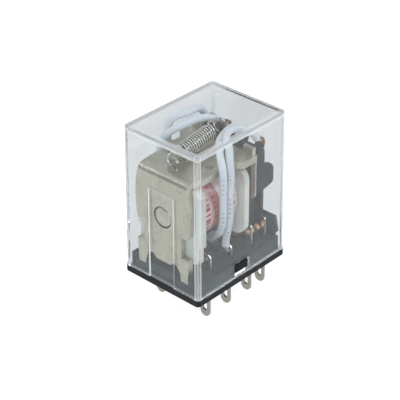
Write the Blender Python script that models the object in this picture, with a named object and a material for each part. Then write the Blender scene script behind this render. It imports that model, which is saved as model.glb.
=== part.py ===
"""Plug in relay with four changeover poles, a clapper armature and a clear snap-on cover.

The origin is the middle of the base's underside, +Z points out of the cover's top and the long
side of the body runs along Y. The coil lies along Y: the yoke is at the -Y end and the armature
and contacts are at the +Y end. Built in metres.
"""
import math

import bmesh
import bpy
from mathutils import Matrix, Vector

mm = 0.001

# Body and cover
BODY_WIDTH = 21.5 * mm
BODY_LENGTH = 28.0 * mm
BODY_HEIGHT = 35.8 * mm
COVER_DRAFT = 0.26 * mm
COVER_WALL = 0.9 * mm
COVER_ROOF = 1.0 * mm
COVER_CORNER = 0.9 * mm
COVER_TOP_EDGE = 0.4 * mm
COVER_BOTTOM = 1.45 * mm
COVER_LIP = 0.12 * mm
COVER_LIP_HEIGHT = 0.45 * mm
CHANNEL_WIDTH = 7.3 * mm
CHANNEL_TOP = 23.5 * mm
CHANNEL_FLOOR_Y = -13.58 * mm
WINDOW_WIDTH = 4.9 * mm
WINDOW_HEIGHT = 3.1 * mm
WINDOW_Z = 3.7 * mm
WINDOW_BEVEL = 0.35 * mm

# Base
RIM_HEIGHT = 1.4 * mm
RIM_CORNER = 0.8 * mm
BLOCK_HALF_X = 9.6 * mm
BLOCK_HALF_Y = 12.9 * mm
BLOCK_TOP = 4.8 * mm
BLOCK_CORNER = 0.6 * mm
LATCH_HALF_Y = 1.9 * mm
LATCH_HALF_Z = 1.0 * mm
LATCH_REACH = 0.9 * mm
BARRIER_THICKNESS = 1.1 * mm
BARRIER_FRONT_Y = 8.1 * mm
BARRIER_TOP = 15.0 * mm
END_WALL_FRONT_Y = 12.0 * mm
END_WALL_TOP = 9.8 * mm
END_WALL_TOP_HALF = 8.7 * mm
END_WALL_WIDE_HALF = 9.45 * mm
END_WALL_WIDE_Z = 6.2 * mm
SLOT_CLEARANCE = 0.1 * mm

# Poles and terminals
POLE_PITCH = 4.4 * mm
POLES = 4
COIL_Y = -7.25 * mm
COMMON_Y = -0.7 * mm
OPEN_Y = 6.05 * mm
CLOSED_Y = 10.6 * mm
BLADE_WIDTH = 2.6 * mm
BLADE_THICKNESS = 0.5 * mm
BLADE_LENGTH = 7.4 * mm
EYE_WIDTH = 1.2 * mm
EYE_HEIGHT = 2.3 * mm
EYE_CENTRE_Z = -4.7 * mm
STRIP_WIDTH = 2.0 * mm
STRIP_TOP = 9.7 * mm
TAG_WIDTH = 2.4 * mm
COMMON_TOP = 8.0 * mm
COIL_TAG_TOP = 8.7 * mm

# Contacts
CONTACT_Z = 7.9 * mm
CONTACT_RADIUS = 0.78 * mm
SHANK_RADIUS = 0.34 * mm
SHANK_HOLE = 0.42 * mm
RIVET_TAIL = 0.45 * mm
OPEN_FACE_Y = 7.4 * mm
CLOSED_FACE_Y = 9.88 * mm
MOVING_HEAD = 0.7 * mm

# Moving springs
SPRING_Y = 9.05 * mm
SPRING_THICKNESS = 0.15 * mm
SPRING_WIDTH = 1.9 * mm
SPRING_BOTTOM = 6.9 * mm
SPRING_BEND_Z = 27.6 * mm
SPRING_TAIL_TOP = 29.9 * mm
SPRING_TAIL_WIDTH = 2.5 * mm
SPRING_TAIL_LEAN = 0.3

# Yoke
YOKE_THICKNESS = 1.45 * mm
YOKE_FACE_Y = -12.85 * mm
YOKE_TOP_Z = 27.9 * mm
YOKE_BEND_RADIUS = 1.6 * mm
YOKE_END_Y = 6.05 * mm
YOKE_LEG_BOTTOM = 3.9 * mm
YOKE_TONGUE_BOTTOM = 6.5 * mm
CORE_Z = 17.5 * mm
NECK_RADIUS = 2.4 * mm
NECK_HOLE = 2.5 * mm

# Coil
CORE_RADIUS = 3.0 * mm
POLE_FACE_Y = 3.95 * mm
BARREL_RADIUS = 3.6 * mm
FLANGE_HALF_X = 8.6 * mm
FRONT_FLANGE_Y = -11.3 * mm
FRONT_FLANGE_THICKNESS = 1.7 * mm
REAR_FLANGE_Y = 2.35 * mm
REAR_FLANGE_THICKNESS = 1.4 * mm
REAR_FLANGE_CORNER = 2.6 * mm
WINDING_RADIUS = 6.65 * mm
TAPE_RADIUS = 6.9 * mm

# Armature and the moulding it carries
HINGE_Y = 6.15 * mm
HINGE_Z = 26.3 * mm
ARMATURE_FACE_Y = 4.55 * mm
ARMATURE_THICKNESS = 1.6 * mm
ARMATURE_HALF_X = 8.5 * mm
ARMATURE_TOP = 26.15 * mm
ARMATURE_WING_BOTTOM = 17.3 * mm
ARMATURE_TONGUE_HALF = 4.6 * mm
ARMATURE_TONGUE_BOTTOM = 12.4 * mm
TAIL_HALF_X = 1.7 * mm
TAIL_TOP = 31.8 * mm
TAIL_NECK_Z = 27.6 * mm
TAIL_Y = 5.0 * mm
TAIL_THICKNESS = 0.8 * mm
TAIL_EYE_Z = 30.26 * mm
TAIL_EYE_RADIUS = 0.58 * mm
BLOCK_BACK_Y = 6.3 * mm
BLOCK_FACE_Y = 8.67 * mm
RIB_FACE_Y = 11.7 * mm
FIN_THICKNESS = 0.8 * mm

# Return spring
COIL_WIRE_RADIUS = 0.21 * mm
COIL_RADIUS = 1.62 * mm
COIL_PITCH = 0.62 * mm
COIL_FRONT = Vector((0.0, -7.2 * mm, 29.85 * mm))
COIL_REAR = Vector((0.0, 1.4 * mm, 31.3 * mm))
HOOK_RADIUS = 1.35 * mm
HOOK_TURN = 30.0
FRONT_HOOK = Vector((-0.58 * mm, -8.75 * mm, 29.5 * mm))
REAR_HOOK = Vector((-0.63 * mm, 4.9 * mm, 31.35 * mm))
LUG_FRONT_Y = -9.7 * mm
LUG_THICKNESS = 0.5 * mm
LUG_TOP = 29.9 * mm
LUG_HALF_X = 1.2 * mm
LUG_EYE_Z = 28.54 * mm
LUG_EYE_RADIUS = 0.52 * mm

# Leads
SLEEVE_RADIUS = 0.82 * mm
STRAND_RADIUS = 0.34 * mm
COIL_LEAD_RADIUS = 0.16 * mm


def clear_scene():
    for old in list(bpy.data.objects):
        bpy.data.objects.remove(old, do_unlink=True)


def material(name, color, roughness, metallic=0.0, alpha=1.0):
    mat = bpy.data.materials.get(name)
    if mat is None:
        mat = bpy.data.materials.new(name)
        mat.use_nodes = True
        shader = mat.node_tree.nodes["Principled BSDF"]
        shader.inputs["Base Color"].default_value = (*color, 1.0)
        shader.inputs["Roughness"].default_value = roughness
        shader.inputs["Metallic"].default_value = metallic
        shader.inputs["Alpha"].default_value = alpha
        mat.diffuse_color = (*color, alpha)
    return mat


def object_from(bm, name, mat, smooth_angle=None):
    bmesh.ops.recalc_face_normals(bm, faces=bm.faces[:])
    mesh = bpy.data.meshes.new(name)
    bm.to_mesh(mesh)
    bm.free()
    if mat is not None:
        mesh.materials.append(mat)
    if smooth_angle is not None:
        mesh.shade_smooth()
        mesh.set_sharp_from_angle(angle=math.radians(smooth_angle))
    obj = bpy.data.objects.new(name, mesh)
    bpy.context.scene.collection.objects.link(obj)
    return obj


def copy_of(source, name, location):
    obj = bpy.data.objects.new(name, source.data)
    obj.location = location
    bpy.context.scene.collection.objects.link(obj)
    return obj


def cutter_from(bm, name):
    obj = object_from(bm, name, None)
    obj.hide_render = True
    obj.display_type = "WIRE"
    return obj


def boolean(obj, other, operation):
    mod = obj.modifiers.new(other.name, "BOOLEAN")
    mod.operation = operation
    mod.solver = "EXACT"
    mod.object = other
    return mod


def add_box(bm, low, high):
    centre = (Vector(low) + Vector(high)) / 2
    size = Vector(high) - Vector(low)
    spot = Matrix.Translation(centre) @ Matrix.Diagonal((*size, 1.0))
    bmesh.ops.create_cube(bm, size=1.0, matrix=spot)


def rounded_rectangle(half_x, half_y, radius, steps=4):
    points = []
    corners = ((1, 1, 0), (-1, 1, 90), (-1, -1, 180), (1, -1, 270))
    for sign_x, sign_y, start in corners:
        for step in range(steps + 1):
            angle = math.radians(start + 90 * step / steps)
            x = sign_x * (half_x - radius) + radius * math.cos(angle)
            y = sign_y * (half_y - radius) + radius * math.sin(angle)
            points.append((x, y))
    return points


def circle(radius, sides, centre=(0.0, 0.0), stretch=0.0):
    """A circle, or an upright slot when stretch lengthens it along its second axis."""
    points = []
    for side in range(sides):
        angle = 2 * math.pi * (side + 0.5) / sides
        lift = math.copysign(stretch / 2, math.sin(angle))
        x = centre[0] + radius * math.cos(angle)
        points.append((x, centre[1] + radius * math.sin(angle) + lift))
    return points


def mirrored(half):
    """Close an outline from its right half, listed from the bottom middle to the top middle."""
    return list(half) + [(-x, y) for x, y in reversed(half) if x > 1e-9]


def flat_sheet(loops, thickness, rows=()):
    """A sheet in X and Z with holes, standing on Y = 0 to Y = thickness, cut across at rows."""
    bm = bmesh.new()
    edges = []
    for loop in loops:
        verts = [bm.verts.new((x, 0.0, z)) for x, z in loop]
        for index, vert in enumerate(verts):
            edges.append(bm.edges.new((vert, verts[(index + 1) % len(verts)])))
    bmesh.ops.triangle_fill(bm, use_beauty=True, edges=edges)
    swept = bmesh.ops.extrude_face_region(bm, geom=bm.faces[:])
    moved = [item for item in swept["geom"] if isinstance(item, bmesh.types.BMVert)]
    bmesh.ops.translate(bm, vec=(0.0, thickness, 0.0), verts=moved)
    for row in rows:
        everything = bm.verts[:] + bm.edges[:] + bm.faces[:]
        bmesh.ops.bisect_plane(bm, geom=everything, plane_co=(0, 0, row), plane_no=(0, 0, 1))
    bmesh.ops.triangulate(bm, faces=bm.faces[:])
    return bm


def prism_along_x(outline, half_x):
    """Extrude an outline in Y and Z across the full width from -half_x to half_x."""
    bm = bmesh.new()
    near = [bm.verts.new((-half_x, y, z)) for y, z in outline]
    far = [bm.verts.new((half_x, y, z)) for y, z in outline]
    bm.faces.new(near)
    bm.faces.new(far)
    for index in range(len(outline)):
        after = (index + 1) % len(outline)
        bm.faces.new((near[index], near[after], far[after], far[index]))
    return bm


def turned_along_y(profile, sides):
    """Turn (radius, y) points about the Y axis; a radius of zero closes an end."""
    bm = bmesh.new()
    rings = []
    for radius, y in profile:
        if radius < 1e-9:
            rings.append([bm.verts.new((0.0, y, 0.0))])
            continue
        ring = []
        for side in range(sides):
            angle = 2 * math.pi * side / sides
            ring.append(bm.verts.new((radius * math.cos(angle), y, radius * math.sin(angle))))
        rings.append(ring)
    closed = len(rings[0]) > 1
    pairs = list(zip(rings, rings[1:]))
    if closed:
        pairs.append((rings[-1], rings[0]))
    for one, two in pairs:
        for side in range(sides):
            after = (side + 1) % sides
            corners = [one[side % len(one)], one[after % len(one)]]
            corners += [two[after % len(two)], two[side % len(two)]]
            bm.faces.new(list(dict.fromkeys(corners)))
    return bm


def smooth_route(points, per_span):
    """Points along a Catmull-Rom curve through the given points."""
    route = []
    last = len(points) - 1
    for index in range(last):
        before = points[max(index - 1, 0)]
        start = points[index]
        end = points[index + 1]
        after = points[min(index + 2, last)]
        for step in range(per_span):
            t = step / per_span
            route.append(0.5 * (2 * start + (end - before) * t
                                + (2 * before - 5 * start + 4 * end - after) * t * t
                                + (3 * start - before - 3 * end + after) * t * t * t))
    route.append(points[-1])
    return route


def tube(route, radii, sides):
    """A closed tube along a route, with one radius for each of its points."""
    bm = bmesh.new()
    rings = []
    side_way = Vector((1.0, 0.0, 0.0))
    for index, point in enumerate(route):
        ahead = route[min(index + 1, len(route) - 1)]
        behind = route[max(index - 1, 0)]
        forward = (ahead - behind).normalized()
        side_way = (side_way - forward * side_way.dot(forward)).normalized()
        up_way = forward.cross(side_way)
        ring = []
        for side in range(sides):
            angle = 2 * math.pi * side / sides
            offset = side_way * math.cos(angle) + up_way * math.sin(angle)
            ring.append(bm.verts.new(point + offset * radii[index]))
        rings.append(ring)
    bm.faces.new(rings[0])
    bm.faces.new(rings[-1])
    for one, two in zip(rings, rings[1:]):
        for side in range(sides):
            after = (side + 1) % sides
            bm.faces.new((one[side], one[after], two[after], two[side]))
    return bm


def moved(bm, offset):
    bmesh.ops.translate(bm, vec=offset, verts=bm.verts[:])
    return bm


def pole_x(index):
    return (index - (POLES - 1) / 2) * POLE_PITCH


def coil_x(index):
    return pole_x(0) if index == 0 else pole_x(POLES - 1)


def build_cover():
    mat = material("clear polycarbonate", (0.86, 0.9, 0.92), 0.08, alpha=0.3)
    height = BODY_HEIGHT - COVER_BOTTOM

    def ring(bm, z, inset, radius):
        draft = COVER_DRAFT * (z - COVER_BOTTOM) / height
        half_x = BODY_WIDTH / 2 - draft - inset
        half_y = BODY_LENGTH / 2 - draft - inset
        corners = rounded_rectangle(half_x, half_y, radius)
        return [bm.verts.new((x, y, z)) for x, y in corners]

    bm = bmesh.new()
    lip_top = COVER_BOTTOM + COVER_LIP_HEIGHT
    edge = COVER_TOP_EDGE
    levels = [(COVER_BOTTOM, COVER_WALL, 0.3 * mm), (COVER_BOTTOM, 0.0, COVER_CORNER)]
    levels += [(lip_top, 0.0, COVER_CORNER), (lip_top + COVER_LIP, COVER_LIP, COVER_CORNER)]
    for step in range(4):
        angle = math.radians(90 * step / 3)
        z = BODY_HEIGHT - edge + edge * math.sin(angle)
        levels.append((z, COVER_LIP + edge * (1 - math.cos(angle)), COVER_CORNER))
    rings = [ring(bm, z, inset, radius) for z, inset, radius in levels]
    inner_top = ring(bm, BODY_HEIGHT - COVER_ROOF, COVER_WALL, 0.3 * mm)
    rings.append(inner_top)
    count = len(rings[0])
    for one, two in list(zip(rings[:-1], rings[1:-1])) + [(inner_top, rings[0])]:
        for index in range(count):
            after = (index + 1) % count
            bm.faces.new((one[index], one[after], two[after], two[index]))
    bm.faces.new(rings[-2])
    bm.faces.new(inner_top)
    cover = object_from(bm, "cover", mat, 40)

    cut = bmesh.new()
    low = (-CHANNEL_WIDTH / 2, -BODY_LENGTH / 2 - 1 * mm, COVER_BOTTOM - 1 * mm)
    add_box(cut, low, (CHANNEL_WIDTH / 2, CHANNEL_FLOOR_Y, CHANNEL_TOP))
    for side in (-1, 1):
        inner_x = side * (BODY_WIDTH / 2 - COVER_WALL - 0.3 * mm)
        outer_x = side * (BODY_WIDTH / 2 + 0.2 * mm)
        half_y = WINDOW_WIDTH / 2
        half_z = WINDOW_HEIGHT / 2
        quads = []
        for x, grow in ((inner_x, -WINDOW_BEVEL), (outer_x, 0.0)):
            corners = ((-1, -1), (1, -1), (1, 1), (-1, 1))
            quads.append([cut.verts.new((x, sy * (half_y + grow), WINDOW_Z + sz * (half_z + grow)))
                          for sy, sz in corners])
        cut.faces.new(quads[0])
        cut.faces.new(quads[1])
        for index in range(4):
            after = (index + 1) % 4
            cut.faces.new((quads[0][index], quads[0][after], quads[1][after], quads[1][index]))
    boolean(cover, cutter_from(cut, "cover_cutter"), "DIFFERENCE")
    return cover


def build_base():
    mat = material("dark slate phenolic", (0.085, 0.1, 0.11), 0.45)
    bm = bmesh.new()

    def slab(half_x, half_y, corner, low, high):
        outline = rounded_rectangle(half_x, half_y, corner)
        under = [bm.verts.new((x, y, low)) for x, y in outline]
        over = [bm.verts.new((x, y, high)) for x, y in outline]
        bm.faces.new(under)
        bm.faces.new(over)
        for index in range(len(outline)):
            after = (index + 1) % len(outline)
            bm.faces.new((under[index], under[after], over[after], over[index]))

    slab(BODY_WIDTH / 2, BODY_LENGTH / 2, RIM_CORNER, 0.0, RIM_HEIGHT)
    base = object_from(bm, "base", mat)

    bm = bmesh.new()
    slab(BLOCK_HALF_X, BLOCK_HALF_Y, BLOCK_CORNER, RIM_HEIGHT - 0.5 * mm, BLOCK_TOP)
    boolean(base, cutter_from(bm, "base_block"), "UNION")

    wall = [(0.0, RIM_HEIGHT), (END_WALL_TOP_HALF, RIM_HEIGHT)]
    wall += [(END_WALL_TOP_HALF, BLOCK_TOP + 0.45 * mm), (END_WALL_WIDE_HALF, END_WALL_WIDE_Z)]
    wall += [(END_WALL_TOP_HALF, END_WALL_TOP), (0.0, END_WALL_TOP)]
    bm = flat_sheet([mirrored(wall)], BLOCK_HALF_Y - 0.05 * mm - END_WALL_FRONT_Y)
    moved(bm, (0.0, END_WALL_FRONT_Y, 0.0))
    boolean(base, cutter_from(bm, "base_end_wall"), "UNION")

    bm = bmesh.new()
    for index in range(POLES - 1):
        x = (pole_x(index) + pole_x(index + 1)) / 2
        half = BARRIER_THICKNESS / 2
        add_box(bm, (x - half, BARRIER_FRONT_Y, RIM_HEIGHT),
                (x + half, BLOCK_HALF_Y - 0.1 * mm, BARRIER_TOP))
    for side in (-1, 1):
        inner = side * (BLOCK_HALF_X - 1 * mm)
        outer = side * (BLOCK_HALF_X + LATCH_REACH)
        low = (min(inner, outer), -LATCH_HALF_Y, WINDOW_Z - LATCH_HALF_Z)
        add_box(bm, low, (max(inner, outer), LATCH_HALF_Y, WINDOW_Z + LATCH_HALF_Z))
    boolean(base, cutter_from(bm, "base_barriers"), "UNION")

    bm = bmesh.new()
    half_x = BLADE_WIDTH / 2 + SLOT_CLEARANCE
    half_y = BLADE_THICKNESS / 2 + SLOT_CLEARANCE
    spots = [(coil_x(index), COIL_Y) for index in range(2)]
    spots += [(pole_x(index), y) for index in range(POLES) for y in (COMMON_Y, OPEN_Y, CLOSED_Y)]
    for x, y in spots:
        add_box(bm, (x - half_x, y - half_y, -1 * mm), (x + half_x, y + half_y, BLOCK_TOP + 1 * mm))
    for side in (-1, 1):
        inner = side * 4.95 * mm
        outer = side * 7.35 * mm
        low = (min(inner, outer), -BLOCK_HALF_Y - 1 * mm, YOKE_LEG_BOTTOM - 0.1 * mm)
        high = (max(inner, outer), YOKE_FACE_Y + YOKE_THICKNESS + 0.15 * mm, BLOCK_TOP + 1 * mm)
        add_box(bm, low, high)
    boolean(base, cutter_from(bm, "base_slots"), "DIFFERENCE")
    return base


def terminal_outline(tag_width, top, corner):
    half = BLADE_WIDTH / 2
    tag = tag_width / 2
    points = [(0.0, -BLADE_LENGTH)]
    for step in range(1, 6):
        angle = math.radians(-90 + 90 * step / 5)
        points.append((half * math.cos(angle), -BLADE_LENGTH + half + half * math.sin(angle)))
    points += [(half, RIM_HEIGHT), (tag, RIM_HEIGHT + 0.6 * mm)]
    points += [(tag, top - corner), (tag - corner, top), (0.0, top)]
    return mirrored(points)


def build_terminals():
    mat = material("tinned brass", (0.6, 0.6, 0.56), 0.3, 1.0)
    eye = circle(EYE_WIDTH / 2, 12, (0.0, EYE_CENTRE_Z), EYE_HEIGHT - EYE_WIDTH)
    hole = circle(SHANK_HOLE, 10, (0.0, CONTACT_Z))
    kinds = {
        "coil_terminal": (TAG_WIDTH, COIL_TAG_TOP, 0.7 * mm, [eye]),
        "common_terminal": (TAG_WIDTH, COMMON_TOP, 0.5 * mm, [eye]),
        "contact_terminal": (STRIP_WIDTH, STRIP_TOP, 0.4 * mm, [eye, hole]),
    }
    sources = {}
    for kind, (width, top, corner, holes) in kinds.items():
        bm = flat_sheet([terminal_outline(width, top, corner)] + holes, BLADE_THICKNESS)
        sources[kind] = moved(bm, (0.0, -BLADE_THICKNESS / 2, 0.0))
    first = {}
    wanted = [("coil_terminal", f"coil_terminal_{index + 1}", coil_x(index), COIL_Y)
              for index in range(2)]
    for index in range(POLES):
        x = pole_x(index)
        wanted.append(("common_terminal", f"common_terminal_{index + 1}", x, COMMON_Y))
        wanted.append(("contact_terminal", f"no_terminal_{index + 1}", x, OPEN_Y))
        wanted.append(("contact_terminal", f"nc_terminal_{index + 1}", x, CLOSED_Y))
    for kind, name, x, y in wanted:
        if kind in first:
            copy_of(first[kind], name, (x, y, 0.0))
        else:
            first[kind] = object_from(sources[kind], name, mat)
            first[kind].location = (x, y, 0.0)


def rivet_profile(low_radius, low_y, sheet_low, sheet_high, high_y, high_radius):
    """A two-headed rivet: domed ends at low_y and high_y, with a shank through a sheet."""
    gap = 0.03 * mm
    dome = 0.15 * mm
    return [
        (0.0, low_y),
        (low_radius * 0.7, low_y),
        (low_radius, low_y + dome),
        (low_radius, sheet_low - gap),
        (SHANK_RADIUS, sheet_low - gap),
        (SHANK_RADIUS, sheet_high + gap),
        (high_radius, sheet_high + gap),
        (high_radius, high_y - dome),
        (high_radius * 0.7, high_y),
        (0.0, high_y),
    ]


def build_contacts():
    mat = material("copper contact", (0.78, 0.43, 0.27), 0.2, 1.0)
    half = BLADE_THICKNESS / 2
    low = OPEN_Y - half
    high = OPEN_Y + half
    small = CONTACT_RADIUS * 0.85
    profile = rivet_profile(small, low - RIVET_TAIL, low, high, OPEN_FACE_Y, CONTACT_RADIUS)
    open_rivet = turned_along_y(profile, 12)
    low = CLOSED_Y - half
    high = CLOSED_Y + half
    profile = rivet_profile(CONTACT_RADIUS, CLOSED_FACE_Y, low, high, high + RIVET_TAIL, small)
    closed_rivet = turned_along_y(profile, 12)
    low = SPRING_Y - SPRING_THICKNESS / 2
    high = SPRING_Y + SPRING_THICKNESS / 2
    profile = rivet_profile(CONTACT_RADIUS, low - MOVING_HEAD, low, high, high + MOVING_HEAD,
                            CONTACT_RADIUS)
    moving_rivet = turned_along_y(profile, 12)
    for kind, bm in (("no_contact", open_rivet), ("nc_contact", closed_rivet)):
        first = object_from(bm, f"{kind}_1", mat, 35)
        first.location = (pole_x(0), 0.0, CONTACT_Z)
        for index in range(1, POLES):
            copy_of(first, f"{kind}_{index + 1}", (pole_x(index), 0.0, CONTACT_Z))
    moved(moving_rivet, (0.0, -HINGE_Y, CONTACT_Z - HINGE_Z))
    first = object_from(moving_rivet, "moving_contact_1", mat, 35)
    copies = [first]
    first.location = (pole_x(0), 0.0, 0.0)
    for index in range(1, POLES):
        copies.append(copy_of(first, f"moving_contact_{index + 1}", (pole_x(index), 0.0, 0.0)))
    return copies


def build_moving_springs():
    mat = material("spring copper alloy", (0.7, 0.43, 0.3), 0.25, 1.0)
    half = SPRING_WIDTH / 2
    wide = SPRING_TAIL_WIDTH / 2
    points = [(0.0, SPRING_BOTTOM), (half * 0.6, SPRING_BOTTOM)]
    points += [(half, SPRING_BOTTOM + 0.4 * mm), (half, SPRING_BEND_Z - 0.3 * mm)]
    points += [(wide, SPRING_BEND_Z + 0.2 * mm), (wide, SPRING_TAIL_TOP - 0.7 * mm)]
    points += [(wide - 0.5 * mm, SPRING_TAIL_TOP), (0.0, SPRING_TAIL_TOP)]
    hole = circle(SHANK_HOLE, 10, (0.0, CONTACT_Z))
    bm = flat_sheet([mirrored(points), hole], SPRING_THICKNESS, (SPRING_BEND_Z,))
    for vert in bm.verts:
        vert.co.y -= SPRING_THICKNESS / 2
        if vert.co.z > SPRING_BEND_Z:
            vert.co.y += SPRING_TAIL_LEAN * (vert.co.z - SPRING_BEND_Z)
    moved(bm, (0.0, SPRING_Y - HINGE_Y, -HINGE_Z))
    first = object_from(bm, "moving_spring_1", mat)
    first.location = (pole_x(0), 0.0, 0.0)
    copies = [first]
    for index in range(1, POLES):
        copies.append(copy_of(first, f"moving_spring_{index + 1}", (pole_x(index), 0.0, 0.0)))
    return copies


def build_yoke():
    mat = material("nickel plated iron", (0.66, 0.64, 0.56), 0.32, 1.0)
    bend_start = YOKE_TOP_Z - YOKE_BEND_RADIUS
    middle_radius = YOKE_BEND_RADIUS - YOKE_THICKNESS / 2
    bend_end = bend_start + middle_radius * math.pi / 2

    def along(y):
        """Distance up the flat pattern of a point at y on the top plate."""
        return bend_end + y - (YOKE_FACE_Y + YOKE_BEND_RADIUS)

    arch_top = YOKE_TONGUE_BOTTOM + 1.0 * mm
    arch = []
    for step in range(6):
        angle = math.radians(90 * step / 5)
        arch.append((3.0 * mm + 2.1 * mm * math.sin(angle),
                     YOKE_LEG_BOTTOM + (arch_top - YOKE_LEG_BOTTOM) * math.cos(angle)))
    half = [(0.0, YOKE_TONGUE_BOTTOM), (2.1 * mm, YOKE_TONGUE_BOTTOM)]
    half += arch
    half += [(7.15 * mm, YOKE_LEG_BOTTOM), (7.15 * mm, 6.3 * mm), (7.3 * mm, 6.7 * mm)]
    half += [(7.3 * mm, 9.75 * mm), (5.3 * mm, 9.75 * mm)]
    half += [(5.3 * mm, 14.8 * mm), (6.9 * mm, 14.8 * mm), (7.35 * mm, 15.3 * mm)]
    half += [(7.6 * mm, 17.0 * mm), (7.7 * mm, 21.0 * mm), (7.5 * mm, 24.0 * mm)]
    half += [(6.95 * mm, bend_start), (6.95 * mm, bend_end), (7.35 * mm, along(-9.0 * mm))]
    half += [(7.4 * mm, along(0.5 * mm)), (8.0 * mm, along(0.8 * mm))]
    half += [(9.0 * mm, along(1.7 * mm)), (9.0 * mm, along(YOKE_END_Y - 0.4 * mm))]
    half += [(8.6 * mm, along(YOKE_END_Y)), (2.4 * mm, along(YOKE_END_Y))]
    half += [(2.4 * mm, along(4.2 * mm)), (2.0 * mm, along(3.8 * mm)), (0.0, along(3.8 * mm))]
    holes = [circle(NECK_HOLE, 24, (0.0, CORE_Z))]
    for side in (-1, 1):
        spot = (side * 4.9 * mm, along(-4.5 * mm))
        holes.append(circle(0.9 * mm, 12, spot))
    rows = [bend_start + (bend_end - bend_start) * step / 5 for step in range(6)]
    bm = flat_sheet([mirrored(half)] + holes, YOKE_THICKNESS, rows)
    for vert in bm.verts:
        along_sheet = vert.co.z
        depth = vert.co.y
        if along_sheet <= bend_start:
            vert.co.y = YOKE_FACE_Y + depth
        elif along_sheet >= bend_end:
            vert.co.y = YOKE_FACE_Y + YOKE_BEND_RADIUS + along_sheet - bend_end
            vert.co.z = YOKE_TOP_Z - depth
        else:
            angle = (along_sheet - bend_start) / middle_radius
            reach = YOKE_BEND_RADIUS - depth
            vert.co.y = YOKE_FACE_Y + YOKE_BEND_RADIUS - reach * math.cos(angle)
            vert.co.z = bend_start + reach * math.sin(angle)
    yoke = object_from(bm, "yoke", mat, 25)

    bottom = YOKE_TOP_Z - 0.4 * mm
    tab = [(0.0, bottom), (LUG_HALF_X, bottom), (LUG_HALF_X, LUG_TOP - 0.6 * mm)]
    tab += [(LUG_HALF_X - 0.5 * mm, LUG_TOP), (0.0, LUG_TOP)]
    eye = circle(LUG_EYE_RADIUS, 12, (0.0, LUG_EYE_Z))
    bm = flat_sheet([mirrored(tab), eye], LUG_THICKNESS)
    moved(bm, (0.0, LUG_FRONT_Y, 0.0))
    boolean(yoke, cutter_from(bm, "yoke_lug"), "UNION")

    ears = bmesh.new()
    for side in (-1, 1):
        inner = side * 5.6 * mm
        outer = side * 8.3 * mm
        low = (min(inner, outer), YOKE_END_Y - 1.1 * mm, bottom)
        add_box(ears, low, (max(inner, outer), YOKE_END_Y - 0.1 * mm, YOKE_TOP_Z + 1.6 * mm))
    boolean(yoke, cutter_from(ears, "yoke_ears"), "UNION")
    return yoke


def build_core():
    mat = material("soft iron", (0.62, 0.61, 0.56), 0.35, 1.0)
    face = YOKE_FACE_Y - 0.06 * mm
    inner = YOKE_FACE_Y + YOKE_THICKNESS
    profile = [
        (0.0, face),
        (NECK_RADIUS - 0.25 * mm, face),
        (NECK_RADIUS, face + 0.2 * mm),
        (NECK_RADIUS, inner + 0.05 * mm),
        (CORE_RADIUS, inner + 0.05 * mm),
        (CORE_RADIUS, POLE_FACE_Y),
        (0.0, POLE_FACE_Y),
    ]
    core = object_from(turned_along_y(profile, 24), "core", mat, 35)
    core.location = (0.0, 0.0, CORE_Z)
    return core


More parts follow.
